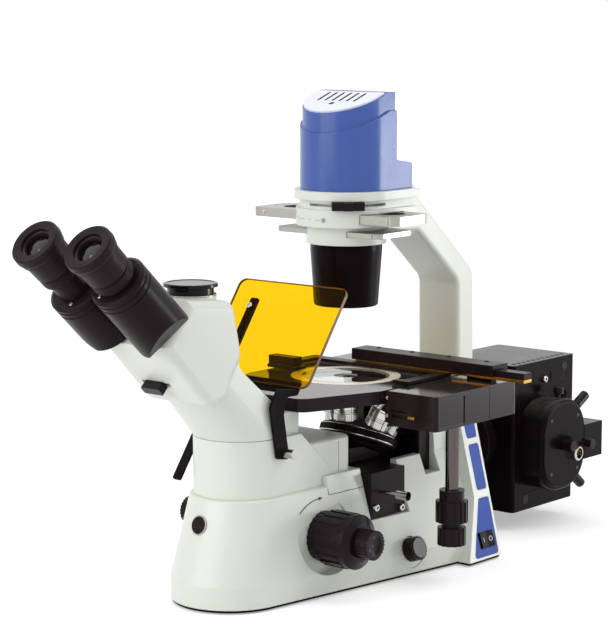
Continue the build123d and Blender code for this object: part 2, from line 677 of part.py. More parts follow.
def light_path_lever():
    """Black lever on the front of the head; its tongue runs in a slot."""
    grip = Pos(0, 0, GAP + LEVER_PROUD / 2) * Box(LEVER_W, LEVER_H, LEVER_PROUD)
    grip = fillet(grip.edges().filter_by(Axis.Z), 2.0)
    tongue = Pos(0, 0, (1 - LEVER_ROOT) / 2) * Box(LEVER_W - 6, LEVER_TONGUE, LEVER_ROOT + 1)
    return lever_plane() * (grip + tongue)


def eye_side(side):
    """Place of an eye tube's axis in the pivot plane, side -1 left or 1 right."""
    return side * EYE_SPACING / 2, -EYE_DROP


def tube_length(side):
    """Length of an eye tube's housing."""
    return TUBE_LEN if side > 0 else TUBE_LEN - TUBE_SHORT


def collar_length(side):
    """Length of the neck and ring above a housing, so that both eyepieces end level."""
    return COLLAR_LEN + TUBE_LEN - tube_length(side)


def eye_plane(side):
    """Plane at the top of an eye tube's housing, looking along the tube."""
    x, up = eye_side(side)
    return pivot_plane() * Pos(x, up, tube_length(side))


def tube_housing(side):
    """Black folding housing of one eye tube, with its hub plate on the spindle."""
    x, up = eye_side(side)
    near = GAP
    bite = TUBE_R - TUBE_GROOVE
    end = tube_length(side)
    profile = [(0, near), (TUBE_R - 2, near), (TUBE_R, near + 2), (TUBE_R, end - 13), (bite, end - 12.2),
               (bite, end - 11), (TUBE_R, end - 10.2), (TUBE_R, end - 7), (bite, end - 6.2),
               (bite, end - 5),
               (TUBE_R, end - 4.2), (TUBE_R, end - 2), (TUBE_R - 3, end), (0, end)]
    barrel = Pos(x, up, 0) * turned(profile)
    lift = near if side > 0 else near + HUB_T + GAP
    web = make_hull([*Circle(HUB_R).edges(), *(Pos(0.75 * x, 0.75 * up) * Circle(HUB_R)).edges()])
    reach = 3 * TUBE_R
    wedge = make_face(Plane.XZ * Polyline((TUBE_CUT_IN, near), (reach, near), (
        reach, near + TUBE_CUT_UP * (reach - TUBE_CUT_IN)), close=True))
    turn = -TUBE_CUT_TURN if side > 0 else 180 + TUBE_CUT_TURN
    barrel -= Pos(x, up, 0) * Rot(0, 0, turn) * extrude(wedge, reach, both=True)
    arm = barrel + Pos(0, 0, lift) * extrude(web, HUB_T, dir=(0, 0, 1))
    wide = 4 * TUBE_R
    for angle in (FOLD_IN + FOLD_MARGIN, -(FOLD_OUT + FOLD_MARGIN)):
        keep = Rot(0, 0, side * angle) * Pos(side * (GAP / 2 + wide / 2), 0, wide / 2)
        arm = arm & (keep * Box(wide, 2 * wide, 2 * wide))
    other_lift = near + HUB_T + GAP if side > 0 else near
    relief = Pos(0, 0, other_lift - GAP) * Cylinder(HUB_R + 2 * GAP, HUB_T + 2 * GAP,
                                                    align=(Align.CENTER, Align.CENTER, Align.MIN))
    arm -= relief
    arm += Pos(0, 0, lift) * Cylinder(HUB_R, HUB_T, align=(Align.CENTER, Align.CENTER, Align.MIN))
    arm -= Cylinder(HUB_PIN_R + RUN, 8 * HUB_T)
    bore = EYE_STEM_R + RUN
    arm -= Pos(x, up, end - 20) * Cylinder(bore, 30, align=(Align.CENTER, Align.CENTER, Align.MIN))
    housing = pivot_plane() * arm
    if side > 0:
        housing += eye_plane(side) * collar_ring(side, 0.0)
    return housing


def collar_ring(side, play):
    """Slim neck and ring between the housing and the eyepiece."""
    inner = EYE_STEM_R + RUN
    high = collar_length(side)
    low = high - COLLAR_RING
    return turned([(inner, play), (COLLAR_NECK_R, play), (COLLAR_NECK_R, low), (COLLAR_R - 1, low),
                   (COLLAR_R, low + 1), (COLLAR_R, high - 1), (COLLAR_R - 1, high), (inner, high)])


def eyepiece(side):
    """Eyepiece barrel with its stem and the folded-down eyecup."""
    low = collar_length(side) + GAP
    cup = low + EYE_BARREL_LEN
    top = cup + EYECUP_LEN
    seat = top - EYE_RECESS
    brim = top - EYECUP_BRIM
    profile = [(0, -19.5), (EYE_STEM_R, -19.5), (EYE_STEM_R, low), (EYE_BARREL_R - 1.5, low),
               (EYE_BARREL_R - 0.5, low + 1), (EYE_BARREL_R, cup), (EYECUP_R - 2.2, cup),
               (EYECUP_R - 1.5, cup + 0.8),
               (EYECUP_R - 1.5, brim - 0.5), (EYECUP_R - 0.5, brim), (EYECUP_R, brim + 2),
               (EYECUP_R - 0.4, top - 1.6),
               (EYECUP_R - 2, top), (EYE_RECESS_R + 0.6, top - 0.8), (EYE_RECESS_R, top - 1.4),
               (EYE_RECESS_R, seat + 1.6), (EYE_LENS_R, seat), (EYE_LENS_R, seat - EYE_LENS_T),
               (0, seat - EYE_LENS_T)]
    return eye_plane(side) * turned(profile)


def eye_lens(side):
    """Convex eye lens seated in the eyepiece."""
    seat = collar_length(side) + GAP + EYE_BARREL_LEN + EYECUP_LEN - EYE_RECESS - EYE_LENS_T
    edge = EYE_LENS_R - RUN
    profile = [(0, seat), (edge, seat), (edge, seat + 1.4), (edge * 0.8, seat + 2.4),
               (edge * 0.45, seat + 3.3),
               (0, seat + EYE_LENS_T)]
    return eye_plane(side) * turned(profile)


def shield_plane():
    """Plane of the shield's lower edge: local x across, local y up the plate."""
    lean = radians(SHIELD_LEAN)
    return Plane(origin=(SHIELD_X, *SHIELD_LOW), x_dir=(1, 0, 0), z_dir=(0, -cos(lean), sin(lean)))


def shield_plate():
    """Clear amber plate with rounded corners."""
    sheet = Pos(0, SHIELD_LEN / 2) * RectangleRounded(SHIELD_W, SHIELD_LEN, SHIELD_CORNER_R)
    return extrude(shield_plane() * sheet, SHIELD_T, dir=tuple(shield_plane().z_dir))


def shield_bracket():
    """Flat black bars: a long left bar, a cross bar below the plate and a bent right arm."""
    plane = shield_plane()
    left = -BAR_X - BAR_W - SHIELD_X
    right = BAR_X + BAR_T - SHIELD_X
    long_bar = Pos(left + BAR_W / 2, (BAR_UP - BAR_DOWN) / 2, -BAR_T / 2) * Box(BAR_W, BAR_UP + BAR_DOWN,
                                                                                BAR_T)
    long_bar = fillet(long_bar.edges().filter_by(Axis.Z), 2.0)
    cross = Pos((left + right) / 2, 0, -BAR_T / 2) * Box(right - left, CROSS_W, BAR_T)
    bars = plane * (long_bar + cross)
    lean = radians(SHIELD_LEAN)
    lip = []
    for up, out in ((-1, -1), (1, -1), (1, 0), (-GAP, 0), (-GAP, 1)):
        step = (up * CROSS_W / 2, out * BAR_T)
        lip.append((SHIELD_LOW[0] + step[0] * sin(lean) - step[1] * cos(lean),
                    SHIELD_LOW[1] + step[0] * cos(lean) + step[1] * sin(lean)))
    arm = [ARM_FOOT[0], ARM_KNEE[0], ARM_HEAD[0], *lip, ARM_HEAD[1], ARM_KNEE[1], ARM_FOOT[1]]
    bars += side_cut(arm, (BAR_X, BAR_X + BAR_T), {0: 3.0, 1: 8.0, 8: 5.0, 9: 8.0, 10: 3.0})
    bar_y = SHIELD_LOW[0] + (PIVOT_Z - SHIELD_LOW[1]) * tan(lean)
    lug = [(bar_y + 1, PIVOT_Z - 7), (PIVOT_Y + 7, PIVOT_Z - 7), (PIVOT_Y + 7, PIVOT_Z + 7),
           (bar_y + 1, PIVOT_Z + 7)]
    bars += side_cut(lug, (-BAR_X - BAR_T, -BAR_X), {1: 3.0, 2: 3.0})
    for side in (-1, 1):
        bars -= rod(THUMB_R / 2 + RUN, 4 * BAR_T, (side * (BAR_X - BAR_T), PIVOT_Y, PIVOT_Z), (side, 0, 0))
    return bars


def shield_thumb_screws():
    """Knurled screws that clamp the shield bracket to the neck."""
    screws = []
    for side in (-1, 1):
        start = (side * (BAR_X + BAR_T + GAP), PIVOT_Y, PIVOT_Z)
        head = rod(THUMB_R, THUMB_LEN, start, (side, 0, 0))
        shank = rod(THUMB_R / 2, BAR_T + 12, start, (-side, 0, 0))
        screws.append(head + shank)
    return screws


def stage_plate():
    """Black stage with the stepped round opening for the insert."""
    corners = [(-STAGE_FRONT_HALF, STAGE_FRONT_Y), (STAGE_FRONT_HALF, STAGE_FRONT_Y),
               (STAGE_HALF, STAGE_SHOULDER_Y), (STAGE_HALF, STAGE_REAR_Y), (-STAGE_HALF, STAGE_REAR_Y),
               (-STAGE_HALF, STAGE_SHOULDER_Y)]
    outline = make_face(Polyline(*corners, close=True))
    outline = fillet(outline.vertices(), STAGE_CORNER_R)
    plate = extrude(Pos(0, 0, STAGE_LOW_Z) * outline, STAGE_T, dir=(0, 0, 1))
    ledge_r = INSERT_R - INSERT_LEDGE
    ledge_z = STAGE_Z - INSERT_T
    hole = [(0, STAGE_LOW_Z - 1), (ledge_r + STAGE_RELIEF, STAGE_LOW_Z - 1),
            (ledge_r + STAGE_RELIEF, STAGE_LOW_Z),
            (ledge_r, ledge_z - 4), (ledge_r, ledge_z), (INSERT_R + RUN, ledge_z),
            (INSERT_R + RUN, STAGE_Z + 1),
            (0, STAGE_Z + 1)]
    return plate - turned(hole)


def insert_ring():
    """Metal ring that drops into the stage and carries the glass."""
    ledge_z = STAGE_Z - INSERT_T
    glass_z = STAGE_Z - GLASS_T
    return turned([(GLASS_R - 3, ledge_z), (INSERT_R, ledge_z), (INSERT_R, STAGE_Z),
                   (GLASS_R + RUN, STAGE_Z),
                   (GLASS_R + RUN, glass_z), (GLASS_R - 3, glass_z)])


def insert_glass():
    """Glass disc of the insert, with its viewing hole."""
    return turned([(GLASS_HOLE_R, STAGE_Z - GLASS_T), (GLASS_R, STAGE_Z - GLASS_T), (GLASS_R, STAGE_Z),
                   (GLASS_HOLE_R, STAGE_Z)])


def drive_box():
    """Housing on the stage's right edge that holds the gears of both stage slides."""
    x_span = (STAGE_HALF + DRIVE_BRACKET, STAGE_HALF + DRIVE_BRACKET + DRIVE_W)
    z_span = (DRIVE_TOP_Z - DRIVE_H, DRIVE_TOP_Z)
    box = block(x_span, (DRIVE_FRONT_Y, DRIVE_REAR_Y), z_span)
    box = fillet(box.edges().filter_by(Axis.Z).group_by(Axis.X)[-1], DRIVE_CORNER_R)
    box += block((STAGE_HALF, x_span[0]), (DRIVE_FRONT_Y + 2.5, DRIVE_REAR_Y - 8),
                 (z_span[0] + 2.5, z_span[1] - 2))
    for slot in DRIVE_SLOTS:
        box -= block(slot[0], (DRIVE_FRONT_Y - 1, DRIVE_FRONT_Y + 3), slot[1])
    panel = block((x_span[1] - 0.8, x_span[1] + 1), (DRIVE_FRONT_Y + 6, DRIVE_FRONT_Y + 46),
                  (z_span[0] + 2.5, z_span[1] - 4))
    return box - panel


def guide_bar():
    """Cross bar that rides front to back on the drive box and guides the left-right rail."""
    bar = block(GUIDE_BAR_X, GUIDE_BAR_Y, GUIDE_BAR_Z)
    bar = fillet(bar.edges().filter_by(Axis.X).group_by(Axis.Z)[-1], 1.0)
    groove = block((GUIDE_BAR_X[0] - 1, GUIDE_BAR_X[1] + 1), (RAIL_Y[0] - GAP, RAIL_Y[1] + GAP),
                   (GUIDE_BAR_Z[0] - 1, RAIL_TOP_Z + GAP))
    bar -= groove
    shoe_x = (STAGE_HALF + 14, STAGE_HALF + 44)
    shoe = block(shoe_x, (RAIL_Y[1] + GAP, GUIDE_BAR_Y[1]), (DRIVE_TOP_Z + GAP, GUIDE_BAR_Z[0]))
    return bar + shoe


def x_rail():
    """Black rail that slides left and right in the guide bar."""
    return block(RAIL_X, RAIL_Y, (GUIDE_BAR_Z[0], RAIL_TOP_Z))


def x_rack():
    """Brass rack under the rail, with its tooth gaps along the lower front edge."""
    rack = block(RAIL_X, RAIL_Y, (RACK_Z, GUIDE_BAR_Z[0]))
    count = int((RAIL_X[1] - RAIL_X[0]) / RACK_PITCH)
    tooth = Box(RACK_PITCH / 2, 2.4, 1.6)
    places = [Pos(RAIL_X[0] + RACK_PITCH * (k + 0.5), RAIL_Y[1], RACK_Z) for k in range(count)]
    return rack - [place * tooth for place in places]


def specimen_holder():
    """Flat frame that hugs a dish or slide carrier, with a clamp block on its left arm."""
    z_span = HOLDER_Z
    left, right = HOLDER_X
    frame = block((left, right), (RAIL_Y[0] - HOLDER_BACK_W - 4, RAIL_Y[0]), z_span)
    for x_span in ((left, left + HOLDER_ARM_W), (right - HOLDER_ARM_W, right)):
        frame += block(x_span, (HOLDER_REACH_Y, RAIL_Y[0]), z_span)
    jaw = block((left, left + 38), (HOLDER_REACH_Y - 6, HOLDER_REACH_Y + 10), z_span)
    frame += jaw
    frame += block((left, left + 34), (HOLDER_REACH_Y - 4, HOLDER_REACH_Y + 8),
                   (z_span[0], z_span[1] + CLAMP_H))
    frame += block((right - HOLDER_ARM_W - 8, right), (HOLDER_REACH_Y, HOLDER_REACH_Y + 9), z_span)
    return frame


def xy_post():
    """Chrome sleeve and inner pin that carry the two stage knobs."""
    top = DRIVE_TOP_Z - DRIVE_H
    sleeve = rod(XY_POST_R, top - X_KNOB_TOP - GAP, (XY_POST_X, XY_POST_Y, X_KNOB_TOP + GAP), (0, 0, 1))
    pin = rod(XY_PIN_R, top - Y_KNOB_LOW - 4, (XY_POST_X, XY_POST_Y, Y_KNOB_LOW + 4), (0, 0, 1))
    return sleeve + pin


def x_knob():
    """Upper stage knob with its plain collar."""
    collar_low = X_KNOB_TOP - X_COLLAR_H
    knob = ribbed(X_KNOB_R, (X_KNOB_LOW, collar_low), 16, 1.1, 3.0)
    knob += rod(X_COLLAR_R, X_COLLAR_H, (0, 0, collar_low), (0, 0, 1))
    knob -= rod(XY_PIN_R + RUN, 4 * X_KNOB_TOP, (0, 0, 0), (0, 0, 1))
    return Pos(XY_POST_X, XY_POST_Y, 0) * knob


def y_knob():
    """Lower stage knob with its neck."""
    top = X_KNOB_LOW - GAP
    knob = ribbed(Y_KNOB_R, (Y_KNOB_LOW, top - KNOB_NECK_H), 14, 1.0, 2.8)
    knob += rod(KNOB_NECK_R, KNOB_NECK_H, (0, 0, top - KNOB_NECK_H), (0, 0, 1))
    knob -= rod(XY_PIN_R + RUN, top, (0, 0, Y_KNOB_LOW + 4 - GAP), (0, 0, 1))
    return Pos(XY_POST_X, XY_POST_Y, 0) * knob


def nose_plane():
    """Plane on the nosepiece's turning axis at the height of the objective seats."""
    return Plane(origin=NOSE_CENTRE, x_dir=(1, 0, 0), z_dir=NOSE_AXIS)


def seat_plane(index):
    """Plane at one objective seat, looking along the objective."""
    turn = radians(360 * index / SEAT_COUNT)
    outward = (sin(turn), -cos(turn), 0)
    tilt = radians(NOSE_TILT)
    local = Plane(origin=tuple(SEAT_R * v for v in outward),
                  z_dir=(outward[0] * sin(tilt), outward[1] * sin(tilt), cos(tilt)))
    return nose_plane() * local.location


def turret_low():
    """Height of the turret's underside on its own axis."""
    return -TURRET_RIM_DROP - TURRET_RIM - TURRET_RING


def nosepiece_turret():
    """Turning nosepiece: cone with objective seats, black rim and lower ring."""
    slope = tan(radians(NOSE_TILT))
    low = turret_low()
    crown = 12.0
    pin = TURRET_PIN_R + RUN
    profile = [(0, low + TURRET_PIN_LEN + GAP), (pin, low + TURRET_PIN_LEN + GAP), (pin, low),
               (TURRET_R - 4, low), (TURRET_R - 0.6, low + 1), (TURRET_R - 0.6, low + TURRET_RING),
               (TURRET_R, low + TURRET_RING + 0.5), (TURRET_R, -TURRET_RIM_DROP - 1),
               (TURRET_R - 2, -TURRET_RIM_DROP + 0.5), (crown, (SEAT_R - crown) * slope),
               (0, (SEAT_R - crown) * slope + 0.8)]
    turret = turned(profile, nose_plane())
    for index in range(SEAT_COUNT):
        seat = seat_plane(index) * Location((0, 0, -SEAT_SINK))
        turret -= seat * Cylinder(OBJECTIVE_R + 0.5, 12, align=(Align.CENTER, Align.CENTER, Align.MIN))
    plug = seat_plane(PLUG_SEAT) * Location((0, 0, -SEAT_SINK))
    turret += plug * Cylinder(OBJECTIVE_R - 1, PLUG_H, align=(Align.CENTER, Align.CENTER, Align.MIN))
    return turret


def objective(name):
    """Chrome objective: knurled foot, barrel and stepped nose."""
    length = OBJECTIVE_LENGTHS[name] + SEAT_SINK
    tip = OBJECTIVE_TIPS[name]
    profile = [(0, 0), (OBJECTIVE_R - 0.6, 0), (OBJECTIVE_R, 1), (OBJECTIVE_R, 8), (OBJECTIVE_R - 0.7, 8.6),
               (OBJECTIVE_R - 0.7, 9.6), (OBJECTIVE_R, 10.2), (OBJECTIVE_R, length - 11),
               (tip + 2, length - 5),
               (tip, length - 4), (tip, length), (0, length)]
    return Plane((seat_plane(OBJECTIVE_SEATS[name]) * Location((0, 0, -SEAT_SINK)))) * turned(profile)


def focus_carriage():
    """Black slide that lifts the nosepiece: guide plate, arm, sloped pad and pin."""
    front = GUIDE_REAR_Y + GAP
    rear = front + CARRIAGE_T
    arm = [(front, CARRIAGE_FOOT_Z), (front, CARRIAGE_TOP_Z), (rear, CARRIAGE_TOP_Z),
           (rear + CARRIAGE_KNEE[0], CARRIAGE_KNEE[1]), CARRIAGE_CREST,
           (CARRIAGE_TIP_Y, ARM_LOW_Z + CARRIAGE_TIP_H),
           (CARRIAGE_TIP_Y, ARM_LOW_Z), (rear + CARRIAGE_HEEL, ARM_LOW_Z), (rear, CARRIAGE_FOOT_Z)]
    body = side_cut(arm, (-CARRIAGE_HALF, CARRIAGE_HALF))
    low = turret_low() - GAP
    body += turned([(0, low - HUB_PAD_T), (HUB_PAD_R - 4, low - HUB_PAD_T), (HUB_PAD_R, low - 2),
                    (HUB_PAD_R, low),
                    (TURRET_PIN_R, low), (TURRET_PIN_R, low + TURRET_PIN_LEN), (0, low + TURRET_PIN_LEN)],
                   nose_plane())
    return body


def light_tunnel():
    """Black liner of the bay, where the rear light enters."""
    half = PIT_HALF - GAP
    body = block((-half, half), (TUNNEL_FRONT_Y, BAY_REAR_Y), (WINDOW_LOW_Z, SHOULDER_Z))
    inner = BAY_HALF - 2.5 - GAP
    body += block((-inner, inner), (TUNNEL_FRONT_Y, BAY_REAR_Y), (SHOULDER_Z, TUNNEL_TOP_Z))
    body += block((-inner, inner), (BAY_REAR_Y - LINER_T, BAY_REAR_Y), (TUNNEL_TOP_Z, LINER_TOP_Z))
    rear = WINDOW_REAR_Y - GAP
    cheek = [(TUNNEL_FRONT_Y - 6, WINDOW_LOW_Z), (rear, WINDOW_LOW_Z), (rear, WINDOW_HIGH_Z - GAP),
             (TUNNEL_FRONT_Y - 6, WINDOW_HIGH_Z - GAP)]
    return body + side_cut(cheek, (inner - 1, LINING_X), {2: WINDOW_CORNER_R})


def filter_box():
    """Black box of the filter slide, let into the stand's right side."""
    box = block(FILTER_X, FILTER_Y, FILTER_Z)
    box = fillet(box.edges().filter_by(Axis.Z).group_by(Axis.X)[-1], 1.5)
    bore = rod(FILTER_ROD_R + RUN, FILTER_ROD_IN + 30, (FILTER_X[1] + 1, FILTER_ROD_Y, FILTER_ROD_Z),
               (-1, 0, 0))
    return box - bore


def filter_rod():
    """Pull rod of the filter slide, with its knurled knob."""
    face = FILTER_X[1]
    length = FILTER_ROD_IN + FILTER_ROD_OUT
    pull = rod(FILTER_ROD_R, length, (face - FILTER_ROD_IN, FILTER_ROD_Y, FILTER_ROD_Z), (1, 0, 0))
    knob_x = face + FILTER_ROD_OUT
    return pull + rod(FILTER_KNOB_R, FILTER_KNOB_LEN, (knob_x - 2, FILTER_ROD_Y, FILTER_ROD_Z), (1, 0, 0))


def focus_axis(side):
    """Plane on the focus axis at the pocket floor, looking outwards on one side."""
    return Plane(origin=(side * FOCUS_FLOOR_X, FOCUS_Y, FOCUS_Z), x_dir=(0, 1, 0), z_dir=(side, 0, 0))


def tension_ring():
    """Ring behind the right coarse knob that sets its friction."""
    inner = COARSE_SHAFT_R + RUN
    ring = ribbed(TENSION_R, (GAP, TENSION_LEN), 24, 0.7, 2.6)
    return focus_axis(1) * (ring - rod(inner, 4 * TENSION_LEN, (0, 0, -1), (0, 0, 1)))


def coarse_knobs():
    """Both coarse knobs on their hollow shaft."""
    low = TENSION_LEN + GAP
    high = low + COARSE_LEN
    nose = turned([(0, high), (COARSE_R - 1, high), (FINE_R + 4, high + COARSE_NOSE),
                   (0, high + COARSE_NOSE)])
    grip = ribbed(COARSE_R, (low, high - 7), COARSE_RIBS, 1.4, 4.4)
    band = turned([(0, high - 7), (COARSE_R - 0.6, high - 7), (COARSE_R - 0.6, high - 1),
                   (COARSE_R - 1, high),
                   (0, high)])
    knob = grip + band + nose
    boss = turned([(0, GAP), (COARSE_SHAFT_R + 6, GAP), (COARSE_SHAFT_R + 6, low), (0, low)])
    span = 2 * (FOCUS_FLOOR_X + GAP)
    pair = rod(COARSE_SHAFT_R, span + 2 * low, (-span / 2 - low, FOCUS_Y, FOCUS_Z), (1, 0, 0))
    pair += focus_axis(1) * knob
    pair += focus_axis(-1) * (knob + boss)
    return pair - rod(FINE_SHAFT_R + RUN, 400, (-200, FOCUS_Y, FOCUS_Z), (1, 0, 0))


def fine_knobs():
    """Both fine knobs on the inner shaft, with dished faces."""
    low = TENSION_LEN + GAP + COARSE_LEN + COARSE_NOSE + GAP
    high = low + FINE_LEN
    knob = ribbed(FINE_R, (low, high), FINE_RIBS, 0.8, 1.7)
    dish = turned([(0, high - 2.4), (FINE_DISH_R * 0.6, high - 1.8), (FINE_DISH_R, high + 0.01),
                   (0, high + 0.01)])
    knob -= dish
    length = 2 * (FOCUS_FLOOR_X + low)
    pair = rod(FINE_SHAFT_R, length, (-length / 2, FOCUS_Y, FOCUS_Z), (1, 0, 0))
    for side in (-1, 1):
        pair += focus_axis(side) * knob
    return pair


def brightness_dial():
    """Lamp brightness dial on the skirt's right side."""
    floor = -DIAL_SEAT + GAP
    dial = ribbed(DIAL_R, (floor, floor + DIAL_LEN), 20, 0.5, 1.6)
    dial += turned([(0, floor + DIAL_LEN), (DIAL_R - 0.6, floor + DIAL_LEN),
                    (DIAL_R - 2, floor + DIAL_LEN + 1),
                    (0, floor + DIAL_LEN + 1)])
    dial += rod(DIAL_PIN_R, DIAL_PIN_LEN, (0, 0, floor), (0, 0, -1))
    return dial_plane() * dial


def rocker_switch():
    """Mains rocker: a shallow V that tips about its middle."""
    half = SWITCH_L / 2
    rise = half * tan(radians(SWITCH_TILT))
    shape = [(-half, -SWITCH_DEPTH), (half, -SWITCH_DEPTH), (half, SWITCH_PROUD),
             (0, SWITCH_PROUD - rise * 1.4),
             (-half, SWITCH_PROUD - rise * 0.6)]
    section = make_face(Plane.XZ * Polyline(*shape, close=True))
    rocker = Pos(0, SWITCH_W / 2, 0) * extrude(section, SWITCH_W, dir=(0, -1, 0))
    return leg_plane(SWITCH_Y, SWITCH_Z) * rocker


def side_panels():
    """Blue insets on both legs; the lower right one is cut for the switch."""
    foot = leg_plane(0, 0)
    panels = []
    for rows in PANELS:
        sheet = extrude(foot * Pos(0, 0, -PANEL_POCKET) * panel_face(rows, 0.0), PANEL_T,
                        dir=tuple(foot.z_dir))
        pair = both_sides(sheet)
        pair[0] -= leg_plane(SWITCH_Y, SWITCH_Z) * Box(SWITCH_L + SWITCH_ROOM, SWITCH_W + 0.8,
                                                       2 * POCKET_DEPTH)
        panels += pair
    return panels


def lamp_arm():
    """White pillar that bends forward over the stage."""
    line = [(ARM_START_Y, COVER_Z), (ARM_TOP_Y, COVER_Z), (ARM_TOP_Y + 6, COVER_Z - 13),
            (PILLAR_REAR_Y - 3, BEND_OUTER_Z), (PILLAR_REAR_Y, STAGE_LOW_Z), (PILLAR_FRONT_Y, STAGE_LOW_Z),
            (PILLAR_FRONT_Y - 1.5, BEND_INNER_Z), (ARM_LOW_Y, ARM_LOW_Z2), (ARM_START_Y, ARM_LOW_Z2)]
    arm = side_cut(line, (-ARM_HALF, ARM_HALF), {2: 8.0, 3: 16.0, 6: 14.0, 7: 10.0})
    arm = fillet(arm.faces().filter_by(Axis.X).edges(), ARM_EDGE_R)
    return arm - lamp_collar_form(GAP)


def lamp_collar_form(spare):
    """Stacked rings of the lamp head, grown by a little spare room where asked."""
    form = None
    levels = ((RING_Z, RING_R), (DRUM_Z, DRUM_R), (WAIST_Z, WAIST_R), (FLANGE_Z, FLANGE_R))
    tops = [z for z, radius in levels[1:]] + [COVER_Z]
    for (z, radius), top in zip(levels, tops):
        rear = 4.0 if radius == RING_R else COLLAR_REAR_Y - (FLANGE_R - radius)
        plan = nose_outline(radius + spare, 0, radius + spare, max(rear, 1.0) + spare)
        ring = extrude(Pos(0, 0, z) * plan, top - z, dir=(0, 0, 1))
        if radius == RING_R:
            ring += rod(radius + spare, top - z, (0, 0, z), (0, 0, 1))
        form = ring if form is None else form + ring
    return form


def lamp_collar():
    """White lamp head with the light bore and the slots of the two sliders and the iris lever."""
    body = lamp_collar_form(0.0)
    body -= rod(LIGHT_BORE_R, COVER_Z - RING_Z + 2, (0, 0, RING_Z - 1), (0, 0, 1))
    far = 2 * FLANGE_R
    for width, thick, z in ((SLIDER_W, SLIDER_T, SLIDER_Z), (LOWER_W, LOWER_T, LOWER_Z)):
        body -= block((-far, far), (-width / 2 - GAP, width / 2 + GAP), (z - GAP, z + thick + GAP))
    sweep = IRIS_SWING + degrees(IRIS_LEN / 2 / IRIS_ROOT_R) + 2
    low = (WAIST_Z + FLANGE_Z - IRIS_ROOT_T) / 2 - GAP
    sector = [(0, 0)] + [(2 * far * cos(radians(IRIS_ANGLE + a)), 2 * far * sin(radians(IRIS_ANGLE + a)))
                         for a in (-sweep, 0, sweep)]
    slot = extrude(Pos(0, 0, low) * make_face(Polyline(*sector, close=True)), IRIS_ROOT_T + 2 * GAP,
                   dir=(0, 0, 1))
    return body - (slot - rod(IRIS_ROOT_R - 2, 400, (0, 0, 200), (0, 0, 1)))


def iris_lever():
    """Black lever of the aperture iris: a stepped grip on a thin curved root."""
    middle = (WAIST_Z + FLANGE_Z) / 2
    half = IRIS_LEN / 2
    root = block((0, IRIS_REACH - 1), (-half, half), (middle - IRIS_ROOT_T / 2, middle + IRIS_ROOT_T / 2))
    grip = block((0, IRIS_REACH), (-half, half), (middle - IRIS_H / 2, middle + IRIS_H / 2))
    grip += block((0, IRIS_REACH + 4), (-IRIS_GRIP / 2, IRIS_GRIP / 2),
                  (middle - IRIS_H / 2, middle + IRIS_H / 2))
    start = WAIST_Z - IRIS_H
    lever = (root - rod(IRIS_ROOT_R - 1, 3 * IRIS_H, (0, 0, start), (0, 0, 1)))
    lever += grip - rod(WAIST_R + GAP, 3 * IRIS_H, (0, 0, start), (0, 0, 1))
    return Rot(0, 0, IRIS_ANGLE) * lever


def slider(x_span, width, thick, z, hole_r):
    """Flat slide through the lamp head, rounded at both ends, with an opening at rest on the axis."""
    length = x_span[1] - x_span[0]
    sheet = Pos((x_span[0] + x_span[1]) / 2, 0) * RectangleRounded(length, width, SLIDER_END_R)
    sheet = sheet - Circle(LIGHT_BORE_R - 2)
    sheet = sheet - Pos(x_span[0] + 9, 0) * Circle(hole_r)
    return extrude(Pos(0, 0, z) * sheet, thick, dir=(0, 0, 1))


def cover_cut(drop):
    """Y-Z line of the cover's sloping top, lowered by a drop."""
    slope = tan(radians(COVER_SLOPE))
    front = -COVER_R - 2
    level = COVER_FRONT_TOP_Z - drop
    return [(front, COVER_Z), (COVER_REAR_Y + 1, COVER_Z), (COVER_REAR_Y + 1, COVER_LEDGE_Z),
            (COVER_UPPER_REAR_Y, COVER_LEDGE_Z + 4),
            (COVER_UPPER_REAR_Y, COVER_TOP_Z - drop),
            (front + (COVER_TOP_Z - COVER_FRONT_TOP_Z) / slope, COVER_TOP_Z - drop), (front, level)]


def lamp_cover():
    """Blue lamp cover, round in front, with a stepped and sloping cap."""
    plan = nose_outline(COVER_R, 0, COVER_R, COVER_REAR_Y)
    cap_r = COVER_R - COVER_STEP
    cap_plan = nose_outline(cap_r, 0, cap_r, COVER_REAR_Y)
    tall = COVER_FRONT_TOP_Z
    spare = 2 * COVER_R
    lower = extrude(Pos(0, 0, COVER_Z) * plan, tall, dir=(0, 0, 1)) & side_cut(
        cover_cut(COVER_STEP_DROP), (-spare, spare), {3: 3.0})
    upper = extrude(Pos(0, 0, COVER_Z) * cap_plan, tall, dir=(0, 0, 1)) & side_cut(
        cover_cut(0.0), (-spare, spare), {3: 3.0})
    cover = lower + upper
    room = rod(LED_R + 2, LED_T + 6, (0, 0, COVER_Z), (0, 0, 1))
    return cover - room


def vent_plane():
    """Plane of the cover's sloping top."""
    slope = radians(COVER_SLOPE)
    middle = -COVER_R - 2 + COVER_R
    level = COVER_FRONT_TOP_Z + tan(slope) * COVER_R
    return Plane(origin=(0, middle, level), x_dir=(1, 0, 0), z_dir=(0, -sin(slope), cos(slope)))


def lamp_vent():
    """Pale top plate with cooling slots."""
    radius = COVER_R - COVER_STEP - VENT_INSET
    rear = VENT_REAR_Y
    plate = extrude(nose_outline(radius, 0, radius, rear), VENT_T, dir=(0, 0, 1))
    start = -SLOT_PITCH * (VENT_SLOTS - 1) / 2
    for index in range(VENT_SLOTS):
        slot = Pos(start + SLOT_PITCH * index, rear - 14) * SlotOverall(22, SLOT_W, rotation=90)
        plate -= extrude(Pos(0, 0, -1) * slot, VENT_T + 2, dir=(0, 0, 1))
    plate -= rod(3.0, VENT_T + 2, (0, rear - 31, -1), (0, 0, 1))
    return vent_plane() * plate


def led_module():
    """Lamp board with its raised emitter, under the cover."""
    return turned([(0, COVER_Z), (LED_R, COVER_Z), (LED_R, COVER_Z + 3), (6, COVER_Z + 3),
                   (6, COVER_Z + LED_T),
                   (0, COVER_Z + LED_T)])


